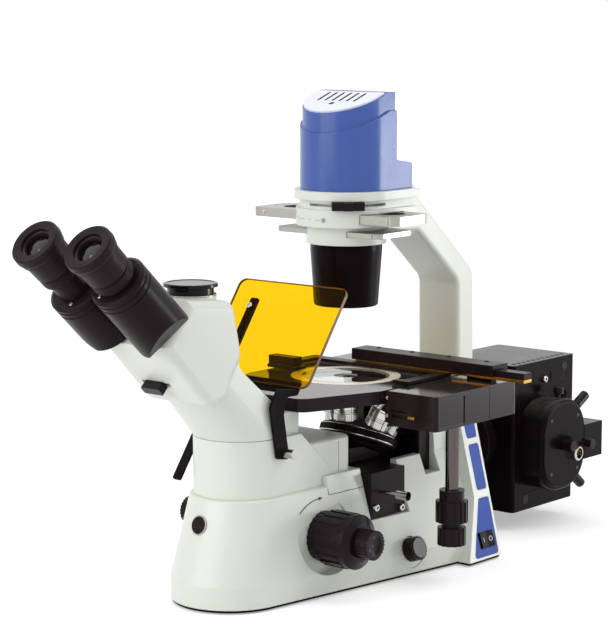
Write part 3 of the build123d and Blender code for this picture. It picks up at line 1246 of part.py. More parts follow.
def condenser():
    """Black cone of the condenser, hollow with a lens seat near its mouth."""
    wall = CONDENSER_WALL
    seat = CONDENSER_LOW_Z + 6 + CONDENSER_LENS_T
    lens = CONDENSER_LENS_R
    outer = [(CONDENSER_LOW_R - 1, CONDENSER_LOW_Z), (CONDENSER_LOW_R, CONDENSER_LOW_Z + 1),
             (CONDENSER_TOP_R, RING_Z - 6), (CONDENSER_TOP_R, RING_Z)]
    inner = [(LIGHT_BORE_R, RING_Z), (LIGHT_BORE_R, seat + 10), (lens - 2, seat), (lens + RUN, seat),
             (lens + RUN, CONDENSER_LOW_Z + 4), (CONDENSER_LOW_R - wall, CONDENSER_LOW_Z)]
    return turned(outer + inner)


def condenser_lens():
    """Convex lens in the condenser's mouth."""
    low = CONDENSER_LOW_Z + 6
    high = low + CONDENSER_LENS_T
    edge = CONDENSER_LENS_R
    return turned([(0, low), (edge * 0.55, low + 0.8), (edge * 0.85, low + 2.4), (edge, low + 4),
                   (edge, high),
                   (0, high)])


def lamp_box():
    """Black rear lamp box with a row of vent holes on top."""
    box = block((-BOX_HALF, BOX_HALF), BOX_Y, BOX_Z)
    box = fillet(box.edges().filter_by(Axis.Z), BOX_EDGE_R)
    pitch = (BOX_Y[1] - BOX_Y[0] - 24) / (VENT_HOLES - 1)
    holes = [Pos(BOX_HALF - 9, BOX_Y[0] + 12 + pitch * k, BOX_Z[1]) * Cylinder(VENT_HOLE_R, 6)
             for k in range(VENT_HOLES)]
    return box - holes


def coupling_flange():
    """Round black coupling between the stand and the lamp box."""
    length = BOX_Y[0] - RIB_REAR_Y
    profile = [(0, 0), (FLANGE_SMALL_R, 0), (FLANGE_SMALL_R, 8), (FLANGE_BIG_R, 12),
               (FLANGE_BIG_R, 12 + FLANGE_DISC_T), (FLANGE_SMALL_R, 16 + FLANGE_DISC_T),
               (FLANGE_SMALL_R, length), (0, length)]
    return turned(profile, Plane(origin=(0, RIB_REAR_Y, EPI_Z), x_dir=(1, 0, 0), z_dir=(0, 1, 0)))


def turret_outline(inset):
    """Upright rounded outline of the side cover, on the box's right face."""
    return Pos(0, -COVER_DROP) * RectangleRounded(COVER_W - 2 * inset, COVER_H - 2 * inset,
                                                  COVER_ROUND - inset)


def side_plane(proud):
    """Plane on the box's right side: local x rearwards, local y up."""
    return Plane(origin=(BOX_HALF + proud, COVER_Y, EPI_Z), x_dir=(0, 1, 0), z_dir=(1, 0, 0))


def turret_cover():
    """Deep rounded cover on the right of the lamp box, with its lid and a small rear block."""
    cover = extrude(side_plane(0) * turret_outline(0), COVER_PROUD, dir=(1, 0, 0))
    cover = fillet(cover.faces().sort_by(Axis.X)[-1].edges(), 2.5)
    cover += extrude(side_plane(COVER_PROUD) * turret_outline(LID_INSET), LID_T, dir=(1, 0, 0))
    width, length, height = TAIL_SIZE
    tail = block((BOX_HALF + 4, BOX_HALF + 4 + width), (COVER_Y + COVER_W / 2 - 4,
                                                        COVER_Y + COVER_W / 2 + length),
                 (EPI_Z - TAIL_DROP - height / 2, EPI_Z - TAIL_DROP + height / 2))
    return cover + tail


def turret_crank():
    """Short crank that turns the light selector inside the lamp box."""
    start = side_plane(COVER_PROUD + LID_T + GAP) * Pos(CRANK_DY, CRANK_DZ, 0)
    hub = start * Cylinder(CRANK_HUB_R, CRANK_HUB_LEN, align=(Align.CENTER, Align.CENTER, Align.MIN))
    web = start * Pos(CRANK_REACH / 2, 0, CRANK_HUB_LEN - 2.5) * Box(CRANK_REACH, 5, 4)
    grip = start * Pos(CRANK_REACH, 0, CRANK_HUB_LEN - 4.5) * Cylinder(
        CRANK_GRIP_R, CRANK_GRIP_LEN, align=(Align.CENTER, Align.CENTER, Align.MIN))
    return hub + web + grip


def connector_socket():
    """Round metal socket for the lamp lead."""
    start = side_plane(COVER_PROUD + LID_T)
    return start * Pos(SOCKET_DY, SOCKET_DZ, 0) * turned(
        [(0, 0), (SOCKET_R, 0), (SOCKET_R, SOCKET_LEN - 1), (SOCKET_R - 1, SOCKET_LEN),
         (SOCKET_R - 2.2, SOCKET_LEN),
         (SOCKET_R - 2.2, 2), (0, 2)])


def centring_screw(foot, direction, neck, grip):
    """One long screw with a slim neck and a round grip."""
    end = neck + grip
    return turned([(0, 0), (CENTRING_NECK_R, 0), (CENTRING_NECK_R, neck), (CENTRING_R, neck + 1),
                   (CENTRING_R, end - 1),
                   (CENTRING_R - 1, end), (0, end)], Plane(origin=foot, z_dir=direction))


def centring_screws():
    """Centring screws round the side cover, and one on the coupling."""
    flat_y = COVER_W / 2 - COVER_ROUND
    flat_z = COVER_H / 2 - COVER_ROUND
    screws = []
    for angle, neck, grip in CENTRING_PLACES:
        out = (0, sin(radians(angle)), cos(radians(angle)))
        rise = flat_z if out[2] > 0 else -flat_z
        foot = (BOX_HALF + COVER_PROUD / 2, COVER_Y + flat_y + COVER_ROUND * out[1],
                EPI_Z - COVER_DROP + rise + COVER_ROUND * out[2])
        screws.append(centring_screw(foot, out, neck, grip))
    angle, neck, grip = COUPLING_SCREW
    out = (sin(radians(angle)), 0, cos(radians(angle)))
    middle = RIB_REAR_Y + 12 + FLANGE_DISC_T / 2
    foot = (FLANGE_BIG_R * out[0], middle, EPI_Z + FLANGE_BIG_R * out[2])
    screws.append(centring_screw(foot, out, neck, grip))
    return screws


def all_nodes():
    """Every named piece of the microscope."""
    nodes = {
        "base_casting": base_casting(), "bottom_plate": bottom_plate(), "rubber_feet": rubber_feet(),
        "neck_cover": neck_cover(), "focus_guide": focus_guide(), "light_tunnel": light_tunnel(),
        "observation_head": observation_head(), "dust_cap": dust_cap(),
        "light_path_lever": light_path_lever(),
        "left_tube_housing": tube_housing(-1), "right_tube_housing": tube_housing(1),
        "left_eyepiece": eyepiece(-1), "right_eyepiece": eyepiece(1),
        "left_eye_lens": eye_lens(-1), "right_eye_lens": eye_lens(1),
        "diopter_ring": eye_plane(-1) * collar_ring(-1, GAP),
        "shield_plate": shield_plate(), "shield_bracket": shield_bracket(),
        "shield_thumb_screws": shield_thumb_screws(),
        "stage_plate": stage_plate(), "insert_ring": insert_ring(), "insert_glass": insert_glass(),
        "drive_box": drive_box(), "guide_bar": guide_bar(), "x_rail": x_rail(), "x_rack": x_rack(),
        "specimen_holder": specimen_holder(), "xy_post": xy_post(), "x_knob": x_knob(), "y_knob": y_knob(),
        "nosepiece_turret": nosepiece_turret(), "focus_carriage": focus_carriage(),
        "filter_box": filter_box(), "filter_rod": filter_rod(),
        "tension_ring": tension_ring(), "coarse_knobs": coarse_knobs(), "fine_knobs": fine_knobs(),
        "brightness_dial": brightness_dial(), "rocker_switch": rocker_switch(),
        "side_panels": side_panels(),
        "lamp_arm": lamp_arm(), "lamp_collar": lamp_collar(), "iris_lever": iris_lever(),
        "upper_slider": slider(SLIDER_X, SLIDER_W, SLIDER_T, SLIDER_Z, 2.5),
        "lower_slider": slider(LOWER_X, LOWER_W, LOWER_T, LOWER_Z, 2.0),
        "lamp_cover": lamp_cover(), "lamp_vent": lamp_vent(), "led_module": led_module(),
        "condenser": condenser(), "condenser_lens": condenser_lens(),
        "lamp_box": lamp_box(), "coupling_flange": coupling_flange(), "turret_cover": turret_cover(),
        "turret_crank": turret_crank(), "connector_socket": connector_socket(),
        "centring_screws": centring_screws(),
    }
    for name in OBJECTIVE_SEATS:
        nodes[name] = objective(name)
    return nodes


def main():
    """Write one file per piece."""
    os.makedirs("parts", exist_ok=True)
    for name, shape in all_nodes().items():
        solids = shape if isinstance(shape, list) else [shape]
        pieces = [solid for item in solids for solid in item.solids()]
        export_step(pieces[0] if len(pieces) == 1 else Compound(pieces), f"parts/{name}.step")


if __name__ == "__main__":
    main()
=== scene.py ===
"""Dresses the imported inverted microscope: a finish on every solid, small fittings, plain marks and a studio.

Sizes are millimetres in the part's frame: z = 0 is the bench, the optical axis is x = y = 0, -y is the
operator's side. Meshes are written in metres.
"""

import logging
from abc import ABC, abstractmethod
from dataclasses import dataclass
from enum import Enum
from math import acos, atan2, cos, radians, sin
from typing import Callable, Iterable, Optional, Sequence

import bmesh
import bpy
import numpy as np
from mathutils import Matrix


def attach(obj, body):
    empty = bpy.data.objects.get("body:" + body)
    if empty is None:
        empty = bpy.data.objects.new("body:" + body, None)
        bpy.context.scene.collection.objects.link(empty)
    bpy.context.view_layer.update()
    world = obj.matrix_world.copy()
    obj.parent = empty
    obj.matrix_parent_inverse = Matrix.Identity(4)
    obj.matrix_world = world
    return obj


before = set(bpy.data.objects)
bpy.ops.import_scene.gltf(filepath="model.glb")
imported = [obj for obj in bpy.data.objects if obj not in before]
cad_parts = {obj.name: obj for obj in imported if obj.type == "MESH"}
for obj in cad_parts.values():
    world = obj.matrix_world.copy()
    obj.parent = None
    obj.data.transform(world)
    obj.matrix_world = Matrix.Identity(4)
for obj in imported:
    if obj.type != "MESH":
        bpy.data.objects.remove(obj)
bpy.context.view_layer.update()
MM = 0.001
LOG = logging.getLogger("microscope")
Pair = tuple[float, float]
Triple = tuple[float, float, float]
Pairs, Triples = tuple[Pair, ...], tuple[Triple, ...]
Array = np.ndarray
Node, Socket, Tree = bpy.types.Node, bpy.types.NodeSocket, bpy.types.NodeTree

RIGHT, LEFT = (1, 0, 0), (-1, 0, 0)
REAR, FRONT = (0, 1, 0), (0, -1, 0)
UP, DOWN = (0, 0, 1), (0, 0, -1)
WHITE = (1.0, 1.0, 1.0, 1.0)

FOOT = 0.4            # depth to which a small piece is sunk into its surface
SEAM_WIDTH = 0.7
SEAM_PROUD = 0.05     # height of a drawn joint line above its surface
PRINT_PROUD = 0.06    # height of a printed mark above its surface
CREASE = 32.0         # degrees above which an edge of a piece stays sharp
FINE_CREASE = 25.0
KNURL_CREASE = 20.0
COAT_ROUGHNESS = 0.12
NOISE_ROUGHNESS = 0.55
CLOUD_SIZE = 38.0     # size of the slow tone clouds of a solid finish
CLOUD_SPAN = (0.3, 0.7)
GLOSS_SPREAD = 0.1    # share by which the clouds change the roughness
EDGE_TURN = (0.03, 0.25)
DUST_AND_SHEEN_RISE = (0.5, 1.0)
DUST_AND_SHEEN_SCALE = 90.0
BUMP_STRENGTH = 0.5
# pale film on upward faces: thin dust, and a painted sheen on the tops of dark finishes
DUST_AND_SHEEN_COLOUR: Triple = (196, 194, 188)
# grey along the edges of black finishes: wear, and a painted highlight on the rounded edges
GREY_EDGE: Triple = (58, 50, 53)


class Body(Enum):
    """Bodies of the part that small pieces ride on."""
    STAND = "stand"
    CAMERA_CAP = "camera_cap"
    LEFT_EYE = "left_eye"
    RIGHT_EYE = "right_eye"
    DIOPTER = "diopter"
    SHIELD = "shield"
    Y_CARRIAGE = "y_carriage"
    NOSEPIECE = "nosepiece"
    SWITCH = "mains_switch"
    UPPER_SLIDE = "phase_slide"


class Grain(Enum):
    """Way that the fine relief of a finish runs."""
    EVEN = (1.0, 1.0, 1.0)
    ALONG_X = (0.02, 1.0, 1.0)
    ALONG_Z = (1.0, 1.0, 0.03)


def linear(red: float, green: float, blue: float) -> tuple[float, float, float, float]:
    """Scene-linear colour of a display colour given from 0 to 255."""
    value = np.array((red, green, blue)) / 255.0
    low, high = value / 12.92, ((value + 0.055) / 1.055) ** 2.4
    return (*np.where(value <= 0.04045, low, high).tolist(), 1.0)


class Sheet:
    """Adds nodes and links to one node tree."""

    def __init__(self, tree: Tree) -> None:
        """Keeps the tree that the nodes go into."""
        self.tree = tree

    def add(self, kind: str, **values: object) -> Node:
        """Adds one node.

        Args:
            kind: Blender's name of the node type.
            values: node properties, or input values under the socket's name with spaces as underscores.

        Returns:
            The new node.
        """
        node = self.tree.nodes.new(kind)
        for key, value in values.items():
            socket = key.replace("_", " ")
            if socket in node.inputs and not hasattr(node, key):
                node.inputs[socket].default_value = value
            else:
                setattr(node, key, value)
        return node

    def link(self, start: object, end: Socket) -> None:
        """Joins an output to an input, or sets the input where start is a plain value."""
        if isinstance(start, Socket):
            self.tree.links.new(start, end)
        else:
            end.default_value = start

    def feed(self, kind: str, given: Sequence[object], **values: object) -> Node:
        """Adds one node and joins sockets or values to its inputs in their order."""
        node = self.add(kind, **values)
        for start, end in zip(given, node.inputs):
            self.link(start, end)
        return node

    def math(self, operation: str, *given: object) -> Socket:
        """Adds a Math node on values or sockets and returns its result."""
        return self.feed("ShaderNodeMath", given, operation=operation).outputs[0]

    def ramp(self, source: Socket, start: Pair, end: Pair, **values: object) -> Socket:
        """Maps a value from the range start to the range end and returns the result."""
        return self.feed("ShaderNodeMapRange", (source, *start, *end), **values).outputs[0]

    def blend(self, first: object, second: object, factor: Socket) -> Socket:
        """Mixes two colours or colour sockets by a factor and returns the result."""
        node = self.add("ShaderNodeMix", data_type="RGBA")
        for index, start in ((6, first), (7, second), (0, factor)):
            self.link(start, node.inputs[index])
        return node.outputs[2]


class SharedGroups:
    """Shader groups that every finish uses, each built once."""

    def __init__(self) -> None:
        """Builds the groups."""
        self.grain = self._grain()
        self.edge = self._edge()
        self.dust = self._dust_and_sheen()

    @staticmethod
    def _start(name: str, inputs: Sequence[str], outputs: dict[str, str]) -> tuple[Sheet, dict, dict]:
        """Opens a group with float inputs and typed outputs, and returns its sheet and both socket maps."""
        tree = bpy.data.node_groups.new(name, "ShaderNodeTree")
        for label in inputs:
            tree.interface.new_socket(label, in_out="INPUT", socket_type="NodeSocketFloat")
        for label, kind in outputs.items():
            tree.interface.new_socket(label, in_out="OUTPUT", socket_type="NodeSocket" + kind)
        sheet = Sheet(tree)
        first, last = sheet.add("NodeGroupInput"), sheet.add("NodeGroupOutput")
        return sheet, {s.name: s for s in first.outputs}, {s.name: s for s in last.inputs}

    def _grain(self) -> Tree:
        """Fine relief and slow tone clouds on object coordinates, stretched by three factors."""
        sizes = ("Grain Size", "Cloud Size", "Run X", "Run Y", "Run Z")
        sheet, given, result = self._start("fine_grain", sizes, {"Height": "Float", "Cloud": "Float"})
        place = sheet.add("ShaderNodeTexCoord").outputs["Object"]
        run = sheet.feed("ShaderNodeCombineXYZ", [given["Run " + label] for label in "XYZ"]).outputs[0]
        stretched = sheet.feed("ShaderNodeVectorMath", (place, run), operation="MULTIPLY").outputs[0]
        for size, label, source, detail in (("Grain Size", "Height", stretched, 2.0),
                                            ("Cloud Size", "Cloud", place, 3.0)):
            noise = sheet.add("ShaderNodeTexNoise", Detail=detail, Roughness=NOISE_ROUGHNESS)
            sheet.link(source, noise.inputs["Vector"])
            sheet.link(sheet.math("DIVIDE", 1.0 / MM, given[size]), noise.inputs["Scale"])
            sheet.link(noise.outputs[0], result[label])
        return sheet.tree

    def _edge(self) -> Tree:
        """Rounded shading along edges, and a mask of how far a point turns from its flat neighbour."""
        sheet, given, result = self._start("soft_edge", ("Radius",), {"Normal": "Vector", "Mask": "Float"})
        bevel = sheet.add("ShaderNodeBevel", samples=6)
        sheet.link(sheet.math("MULTIPLY", given["Radius"], MM), bevel.inputs["Radius"])
        flat = sheet.add("ShaderNodeNewGeometry").outputs["Normal"]
        dot = sheet.feed("ShaderNodeVectorMath", (bevel.outputs[0], flat), operation="DOT_PRODUCT")
        turn = sheet.math("SUBTRACT", 1.0, dot.outputs["Value"])
        sheet.link(bevel.outputs[0], result["Normal"])
        sheet.link(sheet.ramp(turn, EDGE_TURN, (0.0, 1.0)), result["Mask"])
        return sheet.tree

    def _dust_and_sheen(self) -> Tree:
        """Film on upward faces, broken by slow noise: thin dust, and a painted sheen on the tops of dark
        finishes.
        """
        sheet, given, result = self._start("dust_and_sheen_film", ("Amount",), {"Mask": "Float"})
        coords = sheet.add("ShaderNodeTexCoord").outputs
        normal = sheet.feed("ShaderNodeSeparateXYZ", (coords["Normal"],)).outputs
        noise = sheet.add("ShaderNodeTexNoise", Scale=DUST_AND_SHEEN_SCALE, Detail=4.0)
        sheet.link(coords["Object"], noise.inputs["Vector"])
        film = sheet.math("MULTIPLY", sheet.ramp(normal["Z"], DUST_AND_SHEEN_RISE, (0.0, 1.0)), noise.outputs[0])
        sheet.link(sheet.math("MULTIPLY", film, given["Amount"]), result["Mask"])
        return sheet.tree


GROUPS = SharedGroups()
MADE: dict[str, bpy.types.Material] = {}


def new_material(name: str) -> tuple[bpy.types.Material, Sheet, bpy.types.NodeInputs]:
    """Opens a material and returns it with its sheet and the inputs of its Principled shader."""
    made = bpy.data.materials.new(name)
    made.use_nodes = True
    return made, Sheet(made.node_tree), made.node_tree.nodes["Principled BSDF"].inputs


@dataclass(frozen=True)
class Coating(ABC):
    """What every finish has: a name, and one material that is built on first use."""
    name: str

    def material(self) -> bpy.types.Material:
        """Returns the material, built the first time."""
        if self.name not in MADE:
            MADE[self.name], sheet, shader = new_material(self.name)
            for socket, value in self.inputs(sheet).items():
                sheet.link(value, shader[socket])
        return MADE[self.name]

    @abstractmethod
    def inputs(self, sheet: Sheet) -> dict[str, object]:
        """Values or sockets for the Principled shader's inputs, with the nodes behind them on the sheet."""


@dataclass(frozen=True)
class Edge:
    """Softened edge: its radius, and the share and colour of the wear and painted highlight along it."""
    radius: float = 0.5
    share: float = 0.0
    colour: Triple = GREY_EDGE


@dataclass(frozen=True)
class Finish(Coating):
    """A solid finish: colour, gloss, fine relief, edges softened with wear and painted highlight, and dust and
    painted sheen.

    Colours are display colours from 0 to 255. relief is the size and depth of the grain. head_on is the share
    of the sheen that is left when the face is seen straight; at a grazing angle it stays whole. slot is not
    used.
    """
    colour: Triple
    roughness: float
    metallic: float = 0.0
    specular: float = 0.5
    head_on: float = 1.0
    coat: float = 0.0
    grain: Grain = Grain.EVEN
    relief: Pair = (0.5, 0.01)
    cloud: float = 0.03
    edge: Edge = Edge()
    dust: float = 0.0
    slot: str = ""

    def inputs(self, sheet: Sheet) -> dict[str, object]:
        """Puts the shared groups in front of the shader."""
        size, depth = self.relief
        run = dict(zip(("Run_X", "Run_Y", "Run_Z"), self.grain.value))
        grain = sheet.add("ShaderNodeGroup", node_tree=GROUPS.grain, Grain_Size=size,
                          Cloud_Size=CLOUD_SIZE, **run)
        edge = sheet.add("ShaderNodeGroup", node_tree=GROUPS.edge, Radius=self.edge.radius)
        dust = sheet.add("ShaderNodeGroup", node_tree=GROUPS.dust, Amount=self.dust)
        base = np.array(linear(*self.colour)[:3])
        darker, lighter = base * (1.0 - self.cloud), np.minimum(base * (1.0 + self.cloud), 1.0)
        tone = sheet.blend((*darker, 1.0), (*lighter, 1.0), grain.outputs["Cloud"])
        # edge colour along the rounded edges: wear, and a painted highlight
        edge_wear_and_highlight = sheet.math("MULTIPLY", edge.outputs["Mask"], self.edge.share)
        tone = sheet.blend(tone, linear(*self.edge.colour), edge_wear_and_highlight)
        span = (self.roughness * (1.0 - GLOSS_SPREAD), min(self.roughness * (1.0 + GLOSS_SPREAD), 1.0))
        bump = sheet.add("ShaderNodeBump", Strength=BUMP_STRENGTH, Distance=depth * MM)
        sheet.link(grain.outputs["Height"], bump.inputs["Height"])
        sheet.link(edge.outputs["Normal"], bump.inputs["Normal"])
        # the pale film on upward faces is thin dust, and on dark finishes a painted sheen
        return {"Base Color": sheet.blend(tone, linear(*DUST_AND_SHEEN_COLOUR), dust.outputs["Mask"]),
                "Roughness": sheet.ramp(grain.outputs["Cloud"], CLOUD_SPAN, span),
                "Normal": bump.outputs[0], "Metallic": self.metallic, "Specular IOR Level": self.specular,
                "Specular Tint": (self.head_on, self.head_on, self.head_on, 1.0),
                "Coat Weight": self.coat, "Coat Roughness": COAT_ROUGHNESS}


@dataclass(frozen=True)
class ClearFinish(Coating):
    """Clear glass or sheet that lets tinted light through, also in its shadow."""
    tint: Triple
    index: float
    shadow: Triple
    roughness: float = 0.01
    cloud: float = 0.02
    grain_size: float = 2.0
    cloud_size: float = 60.0

    def inputs(self, sheet: Sheet) -> dict[str, object]:
        """Makes the shader transmit, and mixes it with a tinted clear one for shadow rays."""
        grain = sheet.add("ShaderNodeGroup", node_tree=GROUPS.grain, Grain_Size=self.grain_size,
                          Cloud_Size=self.cloud_size, Run_X=1.0, Run_Y=1.0, Run_Z=1.0)
        base = np.array(linear(*self.tint)[:3])
        clear = sheet.add("ShaderNodeBsdfTransparent", Color=linear(*self.shadow))
        shadow_ray = sheet.add("ShaderNodeLightPath").outputs["Is Shadow Ray"]
        solid = sheet.tree.nodes["Principled BSDF"].outputs[0]
        choice = sheet.feed("ShaderNodeMixShader", (shadow_ray, solid, clear.outputs[0]))
        sheet.link(choice.outputs[0], sheet.tree.nodes["Material Output"].inputs["Surface"])
        darker = base * (1.0 - self.cloud)
        return {"Base Color": sheet.blend((*darker, 1.0), (*base, 1.0), grain.outputs["Cloud"]),
                "Roughness": sheet.math("MULTIPLY", grain.outputs["Height"], 2.0 * self.roughness),
                "Transmission Weight": 1.0, "IOR": self.index}


def ink(name: str, colour: Triple, roughness: float, cloud: float, slot: str) -> Finish:
    """Finish of a printed mark or a drawn joint line."""
    return Finish(name, colour, roughness, relief=(0.3, 0.003), cloud=cloud, edge=Edge(0.1), slot=slot)


def metal(name: str, colour: Triple, roughness: float, grain: Grain, relief: Pair, cloud: float,
          edge: float = 0.3, slot: str = "") -> Finish:
    """Finish of a bare metal."""
    return Finish(name, colour, roughness, metallic=1.0, grain=grain, relief=relief, cloud=cloud,
                  edge=Edge(edge), slot=slot)


# its paler edge colour is a painted highlight along the rounded edges
WHITE_PAINT = Finish("white_paint", (222, 226, 218), 0.36, coat=0.12, relief=(0.9, 0.01), cloud=0.012,
                     edge=Edge(1.4, 0.5, (232, 235, 229)), dust=0.02)
BLACK_PAINT = Finish("black_paint", (31, 21, 25), 0.32, specular=0.13, head_on=0.4, relief=(0.55, 0.03),
                     cloud=0.10, edge=Edge(0.7, 0.30), dust=0.02)
BLACK_SHEET = Finish("black_sheet", (19, 13, 15), 0.45, specular=0.08, head_on=0.5, relief=(0.4, 0.02),
                     cloud=0.08, edge=Edge(0.4, 0.35))
# matte black: real rubber on feet and grips, dark joint lines, and the painted shade in vents, vent holes and
# slider wells
RUBBER_AND_SHADE = Finish("rubber", (14, 11, 12), 0.75, specular=0.08, relief=(0.6, 0.03), cloud=0.12)
BLACK_PLASTIC = Finish("black_plastic", (29, 19, 23), 0.20, specular=0.24, head_on=0.4, relief=(0.45, 0.015),
                       cloud=0.10, edge=Edge(0.5, 0.25), dust=0.02)
EYECUP = Finish("eyecup_black", (36, 26, 30), 0.40, specular=0.14, head_on=0.5, relief=(0.4, 0.02),
                cloud=0.08, edge=Edge(0.6, 0.25), dust=0.02)
STAGE_BLACK = Finish("stage_black", (33, 23, 26), 0.09, head_on=0.1, coat=0.12, relief=(0.35, 0.006),
                     cloud=0.06, edge=Edge(0.6, 0.35), dust=0.05)
CAP_GLOSS = Finish("cap_gloss", (16, 11, 13), 0.14, head_on=0.35, relief=(0.5, 0.004), cloud=0.06,
                   edge=Edge(0.5, 0.25), dust=0.06, slot="black_plastic")
# its pale grey edge colour is a painted highlight, and its high dust share is dust and a painted sheen on the
# box top
LAMP_BLACK = Finish("lamp_black", (18, 11, 13), 0.20, specular=0.08, head_on=0.3, relief=(1.0, 0.035),
                    cloud=0.10, edge=Edge(1.8, 0.45, (82, 74, 77)), dust=0.14)
WHITE_RING = Finish("white_ring", (240, 240, 237), 0.26, coat=0.3, relief=(0.5, 0.006), cloud=0.015)
VENT_WHITE = Finish("vent_white", (226, 229, 238), 0.42, relief=(0.6, 0.015), cloud=0.015)
# its paler blue edge colour is a painted highlight along the rounded edges
BLUE_PLASTIC = Finish("blue_plastic", (56, 86, 162), 0.26, head_on=0.8, coat=0.1, relief=(0.6, 0.01),
                      edge=Edge(0.8, 0.4, (84, 112, 188)), dust=0.02)
BLUE_PANEL = Finish("blue_panel", (48, 80, 168), 0.55, specular=0.3, relief=(0.8, 0.06), cloud=0.08,
                    edge=Edge(0.4))
# opaque dark lens colour paints the shade inside the eyepiece behind the clear glass
EYE_GLASS = Finish("eye_glass", (16, 11, 13), 0.05, coat=0.3, relief=(2.0, 0.0005), cloud=0.2)
# opaque dark amber band: a painted shade for the dark look of the sheet's cut edge
AMBER_EDGE = Finish("amber_edge", (112, 74, 12), 0.35, relief=(0.4, 0.004), cloud=0.06, edge=Edge(0.1),
                    slot="amber_sheet")
CHROME = metal("chrome", (196, 194, 190), 0.12, Grain.EVEN, (0.6, 0.002), 0.05)
TURNED_CHROME = metal("turned_chrome", (178, 176, 173), 0.14, Grain.ALONG_Z, (0.5, 0.008), 0.08)
# dark base colour paints the dark reflections on the chrome xy_post, and darkens the lid screws
DARK_STEEL_AND_PAINTED_REFLECTION = metal("dark_steel_and_painted_reflection", (92, 84, 84), 0.16, Grain.ALONG_Z, (0.5, 0.008), 0.10, slot="chrome")
ALUMINIUM = metal("aluminium", (164, 161, 156), 0.27, Grain.ALONG_X, (0.4, 0.02), 0.06, edge=0.5)
BRASS = metal("brass", (172, 132, 60), 0.26, Grain.ALONG_X, (0.4, 0.012), 0.10)
INK_GREY = ink("ink_grey", (150, 152, 150), 0.6, 0.05, "aluminium")
INK_DARK = ink("ink_dark", (58, 57, 58), 0.6, 0.05, "black_plastic")
INK_WHITE = ink("ink_white", (225, 225, 222), 0.5, 0.03, "white_ring")
SEAM = ink("seam_shadow", (120, 121, 117), 0.7, 0.06, "white_paint")
DARK_GLASS = ClearFinish("dark_glass", (215, 222, 222), 1.45, (235, 240, 240))
LENS_GLASS = ClearFinish("lens_glass", (240, 243, 245), 1.52, (245, 246, 248))
AMBER_SHEET = ClearFinish("amber_sheet", (252, 202, 12), 1.12, (254, 218, 56))


@dataclass(frozen=True)
class Place:
    """Local frame: an origin in millimetres and three unit axes."""
    origin: Array
    x: Array
    y: Array
    z: Array

    @classmethod
    def facing(cls, origin: Iterable[float], z: Iterable[float], x: Iterable[float] = RIGHT) -> "Place":
        """Frame whose z looks along a direction, with x as near to a hint as it can be.

        Args:
            origin: where the frame sits.
            z: direction of the local z.
            x: hint for the local x; another is taken where it is parallel to z.

        Returns:
            The frame.
        """
        up = np.array(tuple(z), float)
        up /= np.linalg.norm(up)
        side = np.array(tuple(x), float)
        side = side - up * (side @ up)
        if np.linalg.norm(side) < 1e-3:
            side = np.array((0.0, 1.0, 0.0)) - up * up[1]
        side /= np.linalg.norm(side)
        return cls(np.array(tuple(origin), float), side, np.cross(up, side), up)

    def world(self, local: Array) -> Array:
        """Points of the part's frame from local ones: the sum of the three axes times their coordinates."""
        return self.origin + local[..., :1] * self.x + local[..., 1:2] * self.y + local[..., 2:3] * self.z

    def shifted(self, x: float, y: float, z: float = 0.0) -> "Place":
        """The same frame moved along its own axes."""
        return Place(self.world(np.array((x, y, z), float)), self.x, self.y, self.z)


@dataclass(frozen=True)
class Shell:
    """Grid of points that becomes a closed skin: rows along u, columns round v."""
    points: Array
    wrap_rows: bool = False
    capped: bool = False

    def faces(self, start: int) -> list[list[int]]:
        """Quads between neighbouring points, numbered from start, and end faces where the rows are open."""
        rows, columns = self.points.shape[:2]
        last = rows if self.wrap_rows else rows - 1
        row, column = np.meshgrid(np.arange(last), np.arange(columns), indexing="ij")
        below, beside = (row + 1) % rows, (column + 1) % columns
        quads = np.stack((row * columns + column, row * columns + beside,
                          below * columns + beside, below * columns + column), axis=-1)
        faces = (quads.reshape(-1, 4) + start).tolist()
        if self.capped:
            ring = np.arange(start, start + columns)
            faces += [ring[::-1].tolist(), (ring + (rows - 1) * columns).tolist()]
        return faces


Profile = Sequence[Pair]
Shape = Callable[[Array, Array], Array]


def hexagon(radius: Array, angle: Array) -> Array:
    """Radius of a hexagon: its inner radius over the cosine of the angle to the nearest flat."""
    return radius / np.cos((angle % radians(60.0)) - radians(30.0))


def lathe(profile: Profile, place: Place, steps: int = 48, shape: Optional[Shape] = None) -> Shell:
    """Profile turned about the local z: (r cos a, r sin a, h).

    Args:
        profile: (radius, height) corners from one end of the axis to the other.
        place: frame of the axis.
        steps: points round the axis.
        shape: gives the second and third corner's radius from their own radius and the angle, if not round.

    Returns:
        The turned skin.
    """
    angle = np.linspace(0.0, 2.0 * np.pi, steps, endpoint=False)
    radius, height = np.repeat(np.array(profile, float).T[:, :, None], steps, axis=2)
    if shape:
        radius[1:3] = shape(radius[1:3], angle)
    return Shell(place.world(np.stack((radius * np.cos(angle), radius * np.sin(angle), height), axis=-1)))


def hoop(profile: Profile, place: Place, steps: int = 72, shape: Optional[Shape] = None) -> Shell:
    """Closed ring section turned about the local z as in lathe, open on the axis."""
    return Shell(lathe(profile, place, steps, shape).points, wrap_rows=True)


def band(radius: float, span: Pair, place: Place, proud: float, steps: int) -> Shell:
    """Flat ring round a turned surface, from 1 mm inside it to a little proud of it."""
    (low, high), inner, outer = span, radius - 1.0, radius + proud
    return hoop(((inner, low), (outer, low), (outer, high), (inner, high)), place, steps)


def grip(radius: float, span: Pair, place: Place, teeth: int, proud: float, slope: float = 0.4,
         depth: float = 0.45, bite: float = 1.0) -> Shell:
    """Knurled ring: its outer corners lose depth times (1 + cos(teeth a)) / 2.

    Args:
        radius: radius of the surface that carries the ring.
        span: heights of its two ends.
        place: frame of the axis.
        teeth: number of flutes round the axis.
        proud: height of the ring above the surface.
        slope: height of its sloped ends.
        depth: depth of a flute.
        bite: depth of its foot below the surface.

    Returns:
        The ring's skin.
    """
    (low, high), inner, outer = span, radius - bite, radius + proud
    profile = ((inner, low), (outer, low + slope), (outer, high - slope), (inner, high))
    return hoop(profile, place, 3 * teeth, lambda r, a: r - depth * 0.5 * (1.0 + np.cos(teeth * a)))


